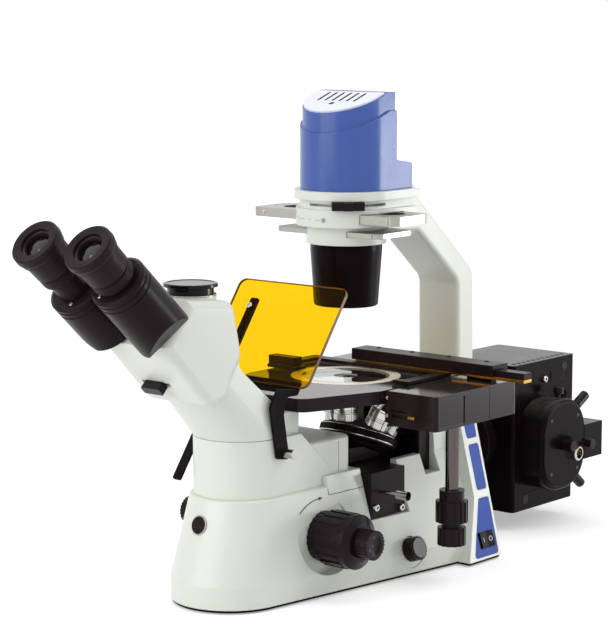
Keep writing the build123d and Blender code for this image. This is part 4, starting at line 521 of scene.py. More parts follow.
def sweep(path: Array, out: Array | Triple, width: Array | float, proud: float = SEAM_PROUD,
          sunk: float = FOOT) -> Shell:
    """Rectangular band carried along a path on a surface.

    Each row is the path point plus or minus half the width across it, from sunk below to proud above.

    Args:
        path: points on the surface, (n, 3) in millimetres.
        out: outward direction at each point, (n, 3) or (3,).
        width: band width, one number or one per point.
        proud: height of the band above the surface.
        sunk: depth of its foot below the surface.

    Returns:
        The band's skin with both ends closed.
    """
    normal = np.broadcast_to(np.asarray(out, float), path.shape)
    normal = normal / np.linalg.norm(normal, axis=1, keepdims=True)
    side = np.cross(normal, np.gradient(path, axis=0))
    side /= np.linalg.norm(side, axis=1, keepdims=True)
    side = side * np.broadcast_to(np.asarray(width, float) / 2.0, path.shape[:1])[:, None]
    rows = (path + side - normal * sunk, path + side + normal * proud,
            path - side + normal * proud, path - side - normal * sunk)
    return Shell(np.stack(rows, axis=1), capped=True)


def run_path(*corners: Sequence[float], steps: int = 12) -> Array:
    """Straight runs between corners, each divided evenly: start + share times (end - start)."""
    points = np.array(corners, float)
    share = np.linspace(0.0, 1.0, steps, endpoint=False)[None, :, None]
    runs = points[:-1, None] + share * (points[1:, None] - points[:-1, None])
    return np.concatenate((runs.reshape(-1, points.shape[1]), points[-1:]))


def arc(centre: Pair, radius: float, span: Pair, steps: int) -> Array:
    """Plane points on an arc between two angles in degrees: the centre plus (r cos a, r sin a)."""
    angle = np.radians(np.linspace(*span, steps))
    return np.array(centre) + radius * np.stack((np.cos(angle), np.sin(angle)), axis=-1)


def raised(flat: Array, height: float) -> Array:
    """Plane points with one height added as third coordinate."""
    return np.concatenate((flat, np.full((len(flat), 1), height)), axis=1)


def rounded(width: float, height: float, radius: float, steps: int = 8) -> Array:
    """Rounded rectangle about the origin: quarter arcs of one radius about four corner centres."""
    angle = np.radians(np.linspace(0.0, 90.0, steps))[None, :] + np.radians((0, 90, 180, 270))[:, None]
    sign = np.array(((1, 1), (-1, 1), (-1, -1), (1, -1)), float)
    centre = sign * np.array((width / 2 - radius, height / 2 - radius))
    corner = np.stack((np.cos(angle), np.sin(angle)), axis=-1) * radius
    return (centre[:, None, :] + corner).reshape(-1, 2)


def tile(outline: Array, place: Place, proud: float, edge: float = 0.4, sunk: float = FOOT) -> Shell:
    """Low plate of a convex outline: rings of the outline scaled from its middle at rising heights.

    Args:
        outline: (n, 2) local points round the plate.
        place: frame on the surface, z outwards.
        proud: height of the plate above the surface.
        edge: width of the bevel round its top.
        sunk: depth of its foot below the surface.

    Returns:
        The plate's closed skin.
    """
    middle = outline.mean(axis=0)
    inset = max(1.0 - edge / np.abs(outline - middle).max(), 0.05)
    rings = ((0.0, -sunk), (1.0, -sunk), (1.0, max(proud - edge, 0.1 * proud)), (inset, proud), (0.0, proud))
    layers = [raised(middle + scale * (outline - middle), height) for scale, height in rings]
    return Shell(place.world(np.stack(layers)))


class Workshop:
    """Turns shells into named pieces and puts finishes on the solids."""

    def __init__(self) -> None:
        """Starts with no pieces."""
        self.count = 0

    def piece(self, name: str, shells: Shell | Sequence[Shell], finish: Finish, body: Body = Body.STAND,
              crease: float = CREASE) -> None:
        """Makes one mesh of one or more shells, and lets it ride on a body.

        Args:
            name: the piece's name.
            shells: its skins.
            finish: its finish.
            body: the body that it moves with.
            crease: angle in degrees above which an edge stays sharp.
        """
        points, faces, start = [], [], 0
        for shell in [shells] if isinstance(shells, Shell) else shells:
            points.append(shell.points.reshape(-1, 3) * MM)
            faces += shell.faces(start)
            start += len(points[-1])
        mesh = bpy.data.meshes.new(name)
        mesh.from_pydata(np.concatenate(points).tolist(), [], faces)
        self._close(mesh)
        mesh.shade_smooth()
        mesh.set_sharp_from_angle(angle=radians(crease))
        mesh.materials.append(finish.material())
        made = bpy.data.objects.new(name, mesh)
        bpy.context.scene.collection.objects.link(made)
        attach(made, body.value)
        self.count += 1
        LOG.info("%s rides on %s, %d faces", name, body.value, len(mesh.polygons))

    @staticmethod
    def _close(mesh: bpy.types.Mesh) -> None:
        """Merges the points at poles, drops flat slivers and turns all faces outwards."""
        work = bmesh.new()
        work.from_mesh(mesh)
        bmesh.ops.remove_doubles(work, verts=work.verts, dist=2e-6)
        bmesh.ops.dissolve_degenerate(work, edges=work.edges, dist=1e-6)
        bmesh.ops.recalc_face_normals(work, faces=work.faces)
        work.to_mesh(mesh)
        work.free()

    def dress(self, wear: dict[Coating, str]) -> None:
        """Puts each finish on the solids whose names stand after it, with spaces between them."""
        for finish, names in wear.items():
            for name in names.split():
                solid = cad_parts[name]
                solid.data.materials.clear()
                solid.data.materials.append(finish.material())
                LOG.info("%s wears %s", name, finish.name)

    def screw(self, name: str, spots: Iterable[Iterable[float]], out: Iterable[float], radius: float,
              height: float, body: Body = Body.STAND, finish: Finish = CHROME) -> None:
        """Socket screws of one size in one piece: a turned head with a hexagon hole.

        Args:
            name: the piece's name.
            spots: where the heads sit on their surface.
            out: direction that the heads look in.
            radius: radius of a head.
            height: height of a head above the surface.
            body: the body that the screws move with.
            finish: their finish.
        """
        socket, chamfer = 0.45 * radius, 0.18 * radius
        floor = height - min(0.7 * height, 0.8 * radius)
        profile = ((0, floor), (socket, floor), (socket, height), (radius - chamfer, height),
                   (radius, height - chamfer), (radius, -FOOT), (0, -FOOT))
        heads = [lathe(profile, Place.facing(spot, out), steps=24, shape=hexagon) for spot in spots]
        self.piece(name, heads, finish, body, FINE_CREASE)


@dataclass
class Stand:
    """White stand with its neck, panels, marks and seams."""
    skirt: Triple = (57.5, -174.0, 96.7)       # nose radius, y of its centre, rear half width
    shoulder: Triple = (47.5, -158.0, 53.0)
    rear_y: float = 126.0
    band_top: float = 25.0
    shoulder_z: float = 113.0
    wall_out: Triple = (0.93, -0.1, 0.35)
    neck_r: float = 45.0
    neck_y: float = -160.0
    seam_z: float = 160.0
    seam_rear_y: float = -124.6
    access_line: Pairs = ((-90.9, 101.4), (-90.7, 95.4), (-40.0, 95.4))
    guide_line: Triples = ((44.0, -65.2, 113.5), (44.0, -65.2, 143.6))
    badge_spot: Triple = (-3.0, -215.5, 79.6)
    badge_lean: float = 16.5
    badge_r: float = 9.5
    badge_rim: float = 1.2
    badge_foot: float = -1.4
    arrow_centre: Pair = (-103.6, 41.9)
    arrow_r: float = 52.4
    dial_centre: Pair = (5.0, 27.5)
    dial_r: float = 18.5
    dial_out: Triple = (0.97, -0.1, 0.2)
    bay_spot: Triple = (36.5, 66.0, 105.0)
    plate_spots: Pairs = ((-40, -150), (40, -150), (-62, 0), (62, 0), (-40, 110), (40, 110))
    plate_z: float = 1.5
    tower_rear_y: float = 184.0

    def _line(self, plan: Triple, y: Array) -> Array:
        """Half width of a plan whose straight side runs tangent from a round nose to the rear corner."""
        radius, centre, rear = plan
        reach = ((self.rear_y - centre) ** 2 + rear ** 2) ** 0.5
        turn = atan2(self.rear_y - centre, rear) - acos(radius / reach)
        start = (radius * cos(turn), centre + radius * sin(turn))
        return start[0] + (y - start[1]) / (self.rear_y - start[1]) * (rear - start[0])

    def wall(self, flat: Array) -> Array:
        """Points on the right side wall at (y, z): half width between skirt and shoulder by height."""
        y, z = flat.T
        share = np.clip((z - self.band_top) / (self.shoulder_z - self.band_top), 0.0, 1.0)
        low, high = self._line(self.skirt, y), self._line(self.shoulder, y)
        return np.stack((low + (high - low) * share, y, z), axis=-1)

    def build(self, shop: Workshop) -> None:
        """Dresses the stand's solids and adds its seams, marks, badge and screws."""
        shop.dress({WHITE_PAINT: "base_casting neck_cover focus_guide", BLACK_SHEET: "bottom_plate",
                    RUBBER_AND_SHADE: "rubber_feet", BLACK_PAINT: "light_tunnel", BLUE_PANEL: "side_panels"})
        self._seams(shop)
        self._marks(shop)
        self._badge(shop)
        shop.screw("bay_screw", [self.bay_spot], FRONT, radius=4.0, height=2.4)
        plate = [(x, y, self.plate_z) for x, y in self.plate_spots]
        shop.screw("plate_screws", plate, DOWN, radius=3.0, height=1.0)
        rear = [(x, self.tower_rear_y, z) for x in (-20.0, 20.0) for z in (22.0, 168.0)]
        shop.screw("rib_screws", rear, REAR, radius=2.6, height=1.6)

    def _seams(self, shop: Workshop) -> None:
        """Joint lines: round the neck, along the access panel and down the focus guide."""
        nose = raised(arc((0.0, self.neck_y), self.neck_r, (0.0, -180.0), 48), self.seam_z)
        right = raised(run_path((self.neck_r, self.seam_rear_y), (self.neck_r, self.neck_y)), self.seam_z)
        neck = np.concatenate((right[:-1], nose, (right * (-1, 1, 1))[::-1][1:]))
        out = np.stack((neck[:, 0], np.minimum(neck[:, 1] - self.neck_y, 0.0), 0 * neck[:, 0]), axis=-1)
        shop.piece("neck_seam", sweep(neck, out, width=0.8, proud=PRINT_PROUD), SEAM)
        access = self.wall(run_path(*self.access_line, steps=24))
        shop.piece("access_seam", sweep(access, self.wall_out, SEAM_WIDTH), SEAM)
        shop.piece("guide_seam", sweep(run_path(*self.guide_line), RIGHT, SEAM_WIDTH), SEAM)

    def _marks(self, shop: Workshop) -> None:
        """Plain printed arrow above the focus knob and the growing arc of the brightness dial."""
        bands = []
        for span, width in (((126.0, 90.0), np.full(40, 0.8)), ((92.0, 86.5), np.linspace(3.4, 0.1, 12))):
            path = self.wall(arc(self.arrow_centre, self.arrow_r, span, len(width)))
            bands.append(sweep(path, self.wall_out, width, PRINT_PROUD))
        shop.piece("tension_arrow", bands, INK_DARK)
        width = np.linspace(0.5, 3.2, 48)
        path = self.wall(arc(self.dial_centre, self.dial_r, (-100.0, -20.0), len(width)))
        shop.piece("dial_arc", sweep(path, self.dial_out, width, PRINT_PROUD), INK_GREY)

    def _badge(self, shop: Workshop) -> None:
        """Bare disc on the nose: a dark dished plate in a bright rim."""
        lean = radians(self.badge_lean)
        place = Place.facing(self.badge_spot, (0, -cos(lean), sin(lean)))
        radius, inner, foot = self.badge_r, self.badge_r - self.badge_rim, self.badge_foot
        rim = ((inner, foot), (radius, foot), (radius, 0.7), (radius - 0.4, 1.1), (inner, 1.0))
        shop.piece("badge_rim", hoop(rim, place), ALUMINIUM)
        disc = ((0, 0.75), (radius * 0.5, 0.8), (inner - 0.1, 0.95), (inner, 0.6), (inner, foot), (0, foot))
        shop.piece("badge_disc", lathe(disc, place), BLACK_PLASTIC)


@dataclass
class Head:
    """Inclined head with the folding eye tubes, the camera port and the lever."""
    view_angle: float = 42.5
    face_top: Pair = (-271.5, 302.0)
    pivot_drop: float = 19.8
    spacing: float = 65.0
    eye_drop: float = 18.7
    tube_len: float = 81.0
    tube_short: float = 18.0
    collar_ring: float = 11.5
    collar_len: float = 14.5
    collar_r: float = 20.0
    grip_inset: float = 2.0
    barrel_len: float = 20.0
    cup_len: float = 14.0
    cup_gap: float = 0.3
    port_spot: Triple = (0.0, -228.0, 301.2)
    port_r: float = 24.0
    cap_top: float = 9.8
    clamp_spot: Pair = (7.9, -18.7)

    def tube(self, side: int) -> Place:
        """Frame at the foot of an eye tube, z along the tube, side -1 left or 1 right."""
        angle = radians(self.view_angle)
        up = np.array((0.0, sin(angle), cos(angle)))
        axis = np.array((0.0, -cos(angle), sin(angle)))
        foot = np.array((side * self.spacing / 2, *self.face_top)) - (self.pivot_drop + self.eye_drop) * up
        return Place(foot, np.array((1.0, 0, 0)), up, axis)

    def build(self, shop: Workshop) -> None:
        """Dresses the head's solids and adds rings, screws and the port's rim."""
        shop.dress({WHITE_PAINT: "observation_head", CAP_GLOSS: "dust_cap", BLACK_PLASTIC: "light_path_lever",
                    BLACK_PAINT: "left_tube_housing right_tube_housing diopter_ring",
                    EYECUP: "left_eyepiece right_eyepiece", EYE_GLASS: "left_eye_lens right_eye_lens"})
        self._eye(shop, -1, "left", Body.LEFT_EYE, Body.DIOPTER)
        self._eye(shop, 1, "right", Body.RIGHT_EYE, Body.RIGHT_EYE)
        port = Place.facing(self.port_spot, UP)
        inner, outer = self.port_r - 2.0, self.port_r + 0.15
        rim = ((inner, -1.2), (outer, -1.2), (outer, -0.5), (self.port_r - 0.5, 0.0), (inner, 0.0))
        shop.piece("port_rim", hoop(rim, port), ALUMINIUM)
        lip = ((22.0, -0.3), (24.6, -0.3), (24.6, 0.2), (24.1, 0.5), (22.6, 0.5), (22.0, 0.2))
        shop.piece("cap_lip", hoop(lip, port.shifted(0, 0, self.cap_top)), CAP_GLOSS, Body.CAMERA_CAP)

    def _eye(self, shop: Workshop, side: int, label: str, body: Body, ring_body: Body) -> None:
        """Knurled collar on its own body, lens stop, cup line and clamp screw of one eye tube."""
        foot = self.tube(side)
        shorter = self.tube_short if side < 0 else 0.0
        collar = foot.shifted(0, 0, self.tube_len - shorter)
        ring_top = self.collar_len + shorter
        span = (ring_top - self.collar_ring + self.grip_inset, ring_top - self.grip_inset)
        knurl = grip(self.collar_r, span, collar, teeth=60, proud=0.35, bite=0.6)
        shop.piece(f"{label}_collar_grip", knurl, BLACK_PAINT, ring_body, KNURL_CREASE)
        top = collar.shifted(0, 0, ring_top + self.cup_gap + self.barrel_len + self.cup_len)
        stop = ((12.2, -5.4), (14.3, -4.2), (14.3, -3.6), (12.9, -4.3))
        shop.piece(f"{label}_lens_ring", hoop(stop, top), BLACK_PLASTIC, body)
        line = ((18.0, -0.75), (18.4, -0.2), (19.0, -0.2), (19.4, -0.75))
        shop.piece(f"{label}_cup_line", hoop(line, top), EYECUP, body)
        clamp = collar.shifted(-side * self.clamp_spot[0], self.clamp_spot[1])
        shop.screw(f"{label}_clamp_screw", [clamp.origin], foot.z, radius=2.0, height=1.4, body=body)


@dataclass
class Shield:
    """Amber shield on its bracket."""
    lean: float = 35.6
    low_edge: Triple = (-8.3, -131.0, 204.5)
    width: float = 136.5
    length: float = 108.0
    corner_r: float = 8.0
    thick: float = 3.5
    bar_x: float = -51.0
    bar_spots: Pair = (14.0, 79.0)

    def build(self, shop: Workshop) -> None:
        """Dresses the shield's solids and adds its screws, and a dark band painting the shade in the sheet's
        cut edge.
        """
        shop.dress({AMBER_SHEET: "shield_plate", BLACK_SHEET: "shield_bracket",
                    TURNED_CHROME: "shield_thumb_screws"})
        lean = radians(self.lean)
        place = Place.facing(self.low_edge, (0.0, -cos(lean), sin(lean)))
        spots = [place.shifted(self.bar_x - self.low_edge[0], up, self.thick).origin for up in self.bar_spots]
        shop.screw("shield_screws", spots, place.z, radius=3.0, height=1.6, body=Body.SHIELD)
        # dark band round the sheet's cut edge, a painted shade
        ring = rounded(self.width, self.length, self.corner_r) + (0.0, self.length / 2)
        rim = place.world(raised(np.concatenate((ring, ring[:1])), self.thick / 2))
        away = np.cross(np.gradient(rim, axis=0), place.z)
        shop.piece("shield_edge", sweep(rim, away, self.thick, proud=0.04, sunk=0.2), AMBER_EDGE, Body.SHIELD)


@dataclass
class Stage:
    """Stage with its insert, mechanical drive and knobs."""
    bar_top_z: float = 212.5
    bar_screw_x: tuple[float, ...] = (-16.8, 26.6, 73.0, 119.8)
    bar_screw_y: float = 74.5
    drive_spots: Triples = ((86.9, -43.5, 188.2), (86.9, -43.5, 170.8))
    edge_spot: Triple = (69.4, -90.9, 189.5)
    edge_out: Triple = (84, -30, 0)
    pin_spot: Triple = (113.6, -45.5, 171.75)
    seam_line: Triples = ((147.5, 41.0, 162.3), (147.5, 41.0, 194.7))

    def build(self, shop: Workshop) -> None:
        """Dresses the stage's solids and adds screws, the brass pin and the drive's seam."""
        shop.dress({STAGE_BLACK: "stage_plate drive_box", BLACK_PAINT: "guide_bar x_rail specimen_holder",
                    WHITE_RING: "insert_ring", DARK_GLASS: "insert_glass", BRASS: "x_rack",
                    DARK_STEEL_AND_PAINTED_REFLECTION: "xy_post", BLACK_PLASTIC: "x_knob y_knob"})
        tops = [(x, self.bar_screw_y, self.bar_top_z) for x in self.bar_screw_x]
        shop.screw("bar_screws", tops, UP, radius=2.6, height=0.7, body=Body.Y_CARRIAGE, finish=BLACK_PLASTIC)
        shop.screw("drive_screws", self.drive_spots, FRONT, radius=1.9, height=1.4)
        shop.screw("stage_screw", [self.edge_spot], self.edge_out, radius=1.7, height=0.7,
                   finish=BLACK_PLASTIC)
        pin = ((0, 0), (1.2, 0), (1.6, 0.5), (1.6, 7.4), (1.2, 7.9), (0, 7.9))
        shop.piece("lock_pin", lathe(pin, Place.facing(self.pin_spot, RIGHT), steps=24), BRASS)
        shop.piece("drive_seam", sweep(run_path(*self.seam_line), RIGHT, width=0.6), RUBBER_AND_SHADE)


@dataclass
class Nosepiece:
    """Inclined nosepiece with four objectives."""
    tilt: float = 22.0
    seat_z: float = 150.0
    seat_r: float = 26.0
    seat_count: int = 5
    sink: float = 1.1
    objective_r: float = 12.0
    knurl_span: Pair = (1.6, 7.4)
    low_band: Pair = (11.6, 12.1)
    high_band: Pair = (-13.6, -12.8)
    turret_r: float = 40.0
    turret_grip: Pair = (-12.9, -7.3)
    turret_rings: tuple[tuple[str, Pair], ...] = (("lower", (-14.4, -13.5)), ("upper", (-6.9, -6.3)))
    objectives: tuple[tuple[str, int, float], ...] = (   # name, seat, length
        ("objective_a", 0, 33.5), ("objective_b", 1, 31.0),
        ("objective_c", 2, 27.0), ("objective_d", 4, 32.0))

    def axis(self) -> Place:
        """Frame on the turning axis at the height of the seats."""
        tilt = radians(self.tilt)
        back, up = np.array((0, cos(tilt), -sin(tilt))), np.array((0, sin(tilt), cos(tilt)))
        return Place(np.array((0, 0, self.seat_z)) + self.seat_r * back, np.array((1.0, 0, 0)), back, up)

    def seat(self, index: int) -> Place:
        """Frame of one objective's foot, z along the objective."""
        turn, tilt = 2 * np.pi * index / self.seat_count, radians(self.tilt)
        outward = np.array((sin(turn), -cos(turn), 0.0))
        hub = self.axis()
        aim = hub.world(outward * sin(tilt) + np.array((0, 0, cos(tilt)))) - hub.origin
        return Place.facing(hub.world(self.seat_r * outward) - self.sink * aim, aim)

    def build(self, shop: Workshop) -> None:
        """Dresses turret and objectives and adds grips, bands and rings."""
        body = Body.NOSEPIECE
        shop.dress({BLACK_PAINT: "nosepiece_turret focus_carriage",
                    CHROME: " ".join(name for name, index, length in self.objectives)})
        hub = self.axis()
        for label, span in self.turret_rings:
            ring = band(self.turret_r, span, hub, proud=0.2, steps=96)
            shop.piece(f"turret_{label}_ring", ring, CHROME, body)
        knurl = grip(self.turret_r, self.turret_grip, hub, teeth=120, proud=0.3, slope=0.3, depth=0.5)
        shop.piece("turret_grip", knurl, RUBBER_AND_SHADE, body, KNURL_CREASE)
        for name, index, length in self.objectives:
            foot = self.seat(index)
            knurl = grip(self.objective_r, self.knurl_span, foot, teeth=48, proud=0.25)
            shop.piece(f"{name}_knurl", knurl, CHROME, body, KNURL_CREASE)
            end = foot.shifted(0, 0, length + self.sink)
            bands = [band(self.objective_r, span, place, PRINT_PROUD, steps=64)
                     for span, place in ((self.low_band, foot), (self.high_band, end))]
            shop.piece(f"{name}_bands", bands, INK_DARK, body)


@dataclass
class Controls:
    """Focus knobs, filter slide, brightness dial and rocker."""
    filter_face_x: float = 63.0
    filter_spots: Pairs = ((-33.0, 74.4), (7.5, 68.0))
    leg_lean: float = 0.325
    leg_foot_x: float = 106.5
    switch_y: float = 106.0
    switch_z: float = 22.0
    rocker_tilt: float = 9.7
    mark_reach: float = 5.5
    ring_rise: float = 1.78
    ring_r: float = 2.2
    bar_rise: float = 1.37
    bar_half: float = 2.4

    def leg(self, y: float, z: float) -> Place:
        """Frame on the right leg's outer face: x rearwards, y up the slope, z outwards."""
        lean = atan2(self.leg_lean, 1.0)
        return Place.facing((self.leg_foot_x - self.leg_lean * z, y, z), (cos(lean), 0, sin(lean)), REAR)

    def build(self, shop: Workshop) -> None:
        """Dresses the controls and adds screws and the switch's marks."""
        shop.dress({BLACK_PLASTIC: "tension_ring coarse_knobs fine_knobs brightness_dial rocker_switch",
                    BLACK_PAINT: "filter_box", TURNED_CHROME: "filter_rod"})
        spots = [(self.filter_face_x, y, z) for y, z in self.filter_spots]
        shop.screw("filter_screws", spots, RIGHT, radius=3.6, height=4.5)
        switch, tilt = self.leg(self.switch_y, self.switch_z), radians(self.rocker_tilt)
        out = switch.z * cos(tilt) - switch.x * sin(tilt)
        spot = Place.facing(switch.shifted(self.mark_reach, 0.0, self.ring_rise).origin, out, switch.x)
        ring = spot.world(raised(arc((0.0, 0.0), self.ring_r, (0.0, 360.0), steps=48), 0.0))
        bar = switch.shifted(-self.mark_reach, 0.0, self.bar_rise)
        dash = run_path(bar.shifted(0, -self.bar_half).origin, bar.shifted(0, self.bar_half).origin)
        marks = (sweep(ring, out, width=0.7, proud=PRINT_PROUD, sunk=0.2),
                 sweep(dash, switch.z, width=0.8, proud=0.1, sunk=0.3))
        shop.piece("switch_marks", marks, INK_WHITE, Body.SWITCH)


@dataclass
class LampHead:
    """Lamp arm with collar, sliders, cover and condenser."""
    drum_r: float = 50.0
    mark_z: float = 355.4
    mark_width: float = 0.5
    # Each ring has its place in degrees, radius and line width, each dash its two ends in degrees.
    iris_rings: Triples = ((-119.0, 2.2, 0.5), (-77.5, 2.2, 0.5), (-77.5, 0.9, 1.6))
    iris_dashes: Pairs = ((-114.5, -106.0), (-89.0, -81.5), (-98.6, -95.6))
    stop_spot: Triple = (-83.4, -29.0, 356.8)
    well_spots: Triples = ((-66.0, 2.0, 361.0), (56.0, 2.0, 361.0))
    vent_spot: Triple = (0.0, -2.0, 473.74)
    vent_lean: float = 20.0
    vent_floor: Triple = (58.0, 38.0, 4.0)
    vent_shift: float = -8.0

    def build(self, shop: Workshop) -> None:
        """Dresses the lamp's solids; adds marks, a screw, and painted shade in the slider wells and under the
        vent.
        """
        shop.dress({WHITE_PAINT: "lamp_arm lamp_collar", BLACK_PLASTIC: "iris_lever",
                    LAMP_BLACK: "condenser", ALUMINIUM: "upper_slider lower_slider",
                    BLUE_PLASTIC: "lamp_cover", VENT_WHITE: "lamp_vent", WHITE_RING: "led_module",
                    LENS_GLASS: "condenser_lens"})
        self._marks(shop)
        shop.screw("slider_stop", [self.stop_spot], FRONT, radius=1.8, height=0.8, body=Body.UPPER_SLIDE)
        # flat dark discs paint the shade in the slider's wells
        well = ((0, 0.05), (12.0, 0.05), (12.6, 0.12), (13.2, 0.05), (13.2, -FOOT), (0, -FOOT))
        wells = [lathe(well, Place.facing(spot, UP)) for spot in self.well_spots]
        shop.piece("slider_well_shades", wells, RUBBER_AND_SHADE, Body.UPPER_SLIDE)
        # dark tile under the vent grille paints the shade inside the vent
        lean = radians(self.vent_lean)
        roof = Place.facing(self.vent_spot, (0, -sin(lean), cos(lean))).shifted(0, self.vent_shift)
        shop.piece("vent_painted_shade", tile(rounded(*self.vent_floor), roof, proud=1.5, edge=0.1, sunk=0.2), RUBBER_AND_SHADE)

    def _drawn(self, turn: Array, rise: Array, width: float) -> Shell:
        """Line on the drum through the points (r cos a, r sin a, z)."""
        out = np.stack((np.cos(turn), np.sin(turn), 0.0 * turn), axis=-1)
        path = out * self.drum_r + np.stack((0.0 * turn, 0.0 * turn, self.mark_z + rise), axis=-1)
        return sweep(path, out, width)

    def _marks(self, shop: Workshop) -> None:
        """Generic iris scale on the drum: an open ring, dashes and a filled ring."""
        bands = []
        for middle, radius, width in self.iris_rings:
            ring = arc((0.0, 0.0), radius, (0.0, 360.0), steps=40)
            bands.append(self._drawn(radians(middle) + ring[:, 0] / self.drum_r, ring[:, 1], width))
        for span in self.iris_dashes:
            turn = np.radians(np.linspace(*span, 16))
            bands.append(self._drawn(turn, 0.0 * turn, self.mark_width))
        shop.piece("iris_scale", bands, INK_GREY)


@dataclass
class RearLamp:
    """Rear lamp box with its selector cover, socket and screws."""
    half: float = 51.0
    y_span: Pair = (222.0, 337.0)
    z_span: Pair = (21.0, 181.0)
    screw_spot: Pair = (276.8, 160.7)
    plug_spots: Pairs = ((245.3, 33.0), (317.0, 169.5))
    seam_lines: tuple[Pairs, ...] = (
        ((232.5, 156.5), (232.5, 40.0), (328.0, 40.0)), ((232.5, 156.5), (290.0, 156.5)))
    vent_count: int = 11
    vent_x: float = 42.0
    vent_inset: float = 12.0
    plate_size: Triple = (26.0, 11.0, 1.5)
    plate_spot: Pair = (303.5, 161.5)
    fin_size: Triple = (66.0, 4.0, 1.8)
    fin_count: int = 6
    fin_span: Pair = (113.0, 161.0)
    panel_size: Triple = (92.0, 126.0, 4.0)
    panel_spot: Pair = (279.5, 101.0)
    panel_t: float = 0.8
    lid_x: float = 82.5
    lid_centre: Pair = (273.0, 92.5)
    lid_screw: Pair = (25.0, 29.0)
    socket_spot: Triple = (82.5, 292.0, 81.0)
    pin_ring: float = 3.3

    def build(self, shop: Workshop) -> None:
        """Dresses the lamp box and adds plugs, seams, pins and screws."""
        shop.dress({LAMP_BLACK: "lamp_box turret_cover coupling_flange", CHROME: "connector_socket",
                    BLACK_PLASTIC: "turret_crank centring_screws"})
        self._side(shop)
        self._rear(shop)
        self._socket(shop)

    def _side(self, shop: Workshop) -> None:
        """Right side and top: a screw, round plugs, panel seams, vent rims in painted shade, a plate and the
        lid's screws.
        """
        face = self.half
        shop.screw("box_screw", [(face, *self.screw_spot)], RIGHT, radius=3.6, height=4.2)
        plug = ((0, 0.5), (4.6, 0.5), (5.2, 0.1), (5.2, -FOOT), (0, -FOOT))
        plugs = [lathe(plug, Place.facing((face, *spot), RIGHT), steps=32) for spot in self.plug_spots]
        shop.piece("box_plugs", plugs, BLACK_PLASTIC)
        seams = [sweep(run_path(*((face, *spot) for spot in line)), RIGHT, SEAM_WIDTH)
                 for line in self.seam_lines]
        shop.piece("box_seams", seams, RUBBER_AND_SHADE)
        # matte dark countersink rims paint the shade in the vent holes
        rim = ((1.5, 0.0), (1.5, 0.08), (2.7, 0.08), (2.7, -0.3))
        row = np.linspace(self.y_span[0] + self.vent_inset, self.y_span[1] - self.vent_inset, self.vent_count)
        rims = [hoop(rim, Place.facing((self.vent_x, y, self.z_span[1]), UP), steps=24) for y in row]
        shop.piece("box_vent_shade_rims", rims, RUBBER_AND_SHADE)
        place = Place.facing((face, *self.plate_spot), RIGHT, REAR)
        plate = tile(rounded(*self.plate_size), place, proud=0.7)
        shop.piece("box_cover_plate", plate, LAMP_BLACK)
        (y, z), (dy, dz) = self.lid_centre, self.lid_screw
        lid = [(self.lid_x, y + sy * dy, z + sz * dz) for sy in (-1, 1) for sz in (-1, 1)]
        shop.screw("lid_screws", lid, RIGHT, radius=1.9, height=0.7, finish=DARK_STEEL_AND_PAINTED_REFLECTION)

    def _rear(self, shop: Workshop) -> None:
        """Rear and left faces: cooling fins, corner screws and a plain left panel."""
        rear, (low, high) = self.y_span[1], self.z_span
        fins = [tile(rounded(*self.fin_size), Place.facing((0, rear, z), REAR), proud=1.6, edge=0.8)
                for z in np.linspace(*self.fin_span, self.fin_count)]
        shop.piece("rear_fins", fins, LAMP_BLACK)
        corners = [(x, rear, z) for x in (-42.0, 42.0) for z in (low + 10, high - 10)]
        shop.screw("rear_screws", corners, REAR, radius=2.8, height=1.5)
        place = Place.facing((-self.half, *self.panel_spot), LEFT, REAR)
        shop.piece("left_panel", tile(rounded(*self.panel_size), place, self.panel_t), LAMP_BLACK)
        sides = [(-self.half - self.panel_t, y, z) for y in (240.0, 319.0) for z in (45.0, 157.0)]
        shop.screw("panel_screws", sides, LEFT, radius=2.4, height=1.2)

    def _socket(self, shop: Workshop) -> None:
        """Insulating disc and five gilt pins in the round socket."""
        place = Place.facing(self.socket_spot, RIGHT, REAR)
        disc = ((0, 4.2), (5.2, 4.2), (5.7, 3.8), (5.7, 1.9), (0, 1.9))
        shop.piece("socket_disc", lathe(disc, place, steps=32), BLACK_PLASTIC)
        pin = ((0, 6.2), (0.5, 6.1), (0.7, 5.6), (0.7, 3.0), (0, 3.0))
        spots = arc((0.0, 0.0), self.pin_ring, (-30.0, 210.0), steps=5)
        pins = [lathe(pin, place.shifted(*spot), steps=12) for spot in spots]
        shop.piece("socket_pins", pins, BRASS)


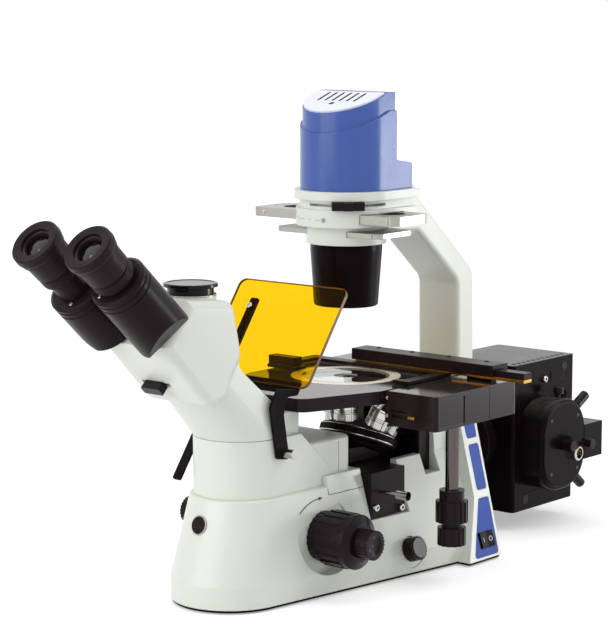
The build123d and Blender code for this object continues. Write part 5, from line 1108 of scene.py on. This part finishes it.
@dataclass
class Studio:
    """Plain pale floor, soft lamps and the camera."""
    eye: Triple = (1430.75, -1770.44, 582.02)
    target: Triple = (-32.17, -27.00, 250.0)
    lens: float = 128.97
    view_depth: float = 50.0
    ambient: float = 0.47
    floor_half: float = 12000.0
    floor_cells: int = 8
    floor_tone: float = 0.9
    near_floor: float = 700.0
    far_floor: float = 3500.0
    floor_glow: Pair = (0.36, 0.74)
    lamp_target: Triple = (0.0, 0.0, 220.0)
    lamps: tuple[tuple[str, Triple, float, float], ...] = (   # name, spot, size in metres, power in watts
        ("right_softbox", (620.0, 260.0, 820.0), 0.5, 1.9),
        ("rear_softbox", (1004.0, 1137.0, 240.0), 0.36, 3.8),
        ("front_softbox", (-350.0, -1800.0, 1000.0), 1.6, 20.0),
        ("top_softbox", (-100.0, 200.0, 1900.0), 1.8, 10.5))

    def build(self) -> None:
        """Sets the view transform and makes camera, floor, world and lamps."""
        bpy.context.scene.view_settings.view_transform = "Standard"
        self._camera()
        self._floor()
        self._world()
        for name, spot, size, power in self.lamps:
            data = bpy.data.lights.new(name, "AREA")
            data.size, data.energy = size, power
            self._aim(data, spot, self.lamp_target)

    @staticmethod
    def _aim(data: bpy.types.ID, spot: Triple, target: Triple) -> bpy.types.Object:
        """Makes an object of a camera or lamp at a spot, with its -z turned to a target."""
        back = np.array(spot) - np.array(target)
        place = Place.facing(spot, back, np.cross(UP, back))
        turn = np.eye(4)
        turn[:3] = np.stack((place.x, place.y, place.z, place.origin * MM), axis=1)
        made = bpy.data.objects.new(data.name, data)
        made.matrix_world = Matrix(turn.tolist())
        bpy.context.scene.collection.objects.link(made)
        return made

    def _camera(self) -> None:
        """Camera at the photograph's angle, with no shift."""
        data = bpy.data.cameras.new("photo_camera")
        data.lens, data.clip_end = self.lens, self.view_depth
        bpy.context.scene.camera = self._aim(data, self.eye, self.target)

    def _floor(self) -> None:
        """Wide pale floor, a flat grid at bench height, that shows white but keeps the shadow."""
        made, sheet, shader = new_material("studio_floor")
        away = sheet.feed("ShaderNodeVectorMath", (sheet.add("ShaderNodeTexCoord").outputs["Object"],),
                          operation="LENGTH").outputs["Value"]
        glow = sheet.ramp(away, (self.near_floor * MM, self.far_floor * MM), self.floor_glow,
                          interpolation_type="SMOOTHSTEP")
        strength = sheet.math("MULTIPLY", self._seen(sheet), glow)
        look = {"Base Color": (self.floor_tone,) * 3 + (1.0,), "Roughness": 0.9, "Specular IOR Level": 0.1,
                "Emission Color": WHITE, "Emission Strength": strength}
        for socket, value in look.items():
            sheet.link(value, shader[socket])
        side = self.floor_cells + 1
        reach = np.linspace(-self.floor_half, self.floor_half, side)
        points = np.stack(np.meshgrid(reach, reach, (0.0,), indexing="ij"), axis=-1).reshape(-1, 3) * MM
        row, column = np.meshgrid(np.arange(side - 1), np.arange(side - 1), indexing="ij")
        first = (row * side + column).reshape(-1, 1)
        mesh = bpy.data.meshes.new("studio_floor")
        mesh.from_pydata(points.tolist(), [], (first + (0, side, side + 1, 1)).tolist())
        mesh.materials.append(made)
        floor = bpy.data.objects.new("studio_floor", mesh)
        bpy.context.scene.collection.objects.link(floor)

    @staticmethod
    def _seen(sheet: Sheet) -> Socket:
        """One for camera, glossy and transmission rays, else zero."""
        path = sheet.add("ShaderNodeLightPath").outputs
        first = sheet.math("MAXIMUM", path["Is Camera Ray"], path["Is Glossy Ray"])
        return sheet.math("MAXIMUM", first, path["Is Transmission Ray"])

    def _world(self) -> None:
        """Even white surround that shows as plain white behind the object."""
        world = bpy.data.worlds.new("studio")
        world.use_nodes = True
        bpy.context.scene.world = world
        sheet = Sheet(world.node_tree)
        glow = world.node_tree.nodes["Background"].inputs
        glow["Color"].default_value = WHITE
        sheet.link(sheet.ramp(self._seen(sheet), (0.0, 1.0), (self.ambient, 1.0)), glow["Strength"])


def main() -> None:
    """Builds the studio and every sub-assembly in order."""
    logging.basicConfig(level=logging.INFO, format="%(name)s: %(message)s")
    shop = Workshop()
    Studio().build()
    for part in (Stand(), Head(), Shield(), Stage(), Nosepiece(), Controls(), LampHead(), RearLamp()):
        part.build(shop)
        LOG.info("%s done, %d pieces so far", type(part).__name__, shop.count)


if __name__ == "__main__":
    main()
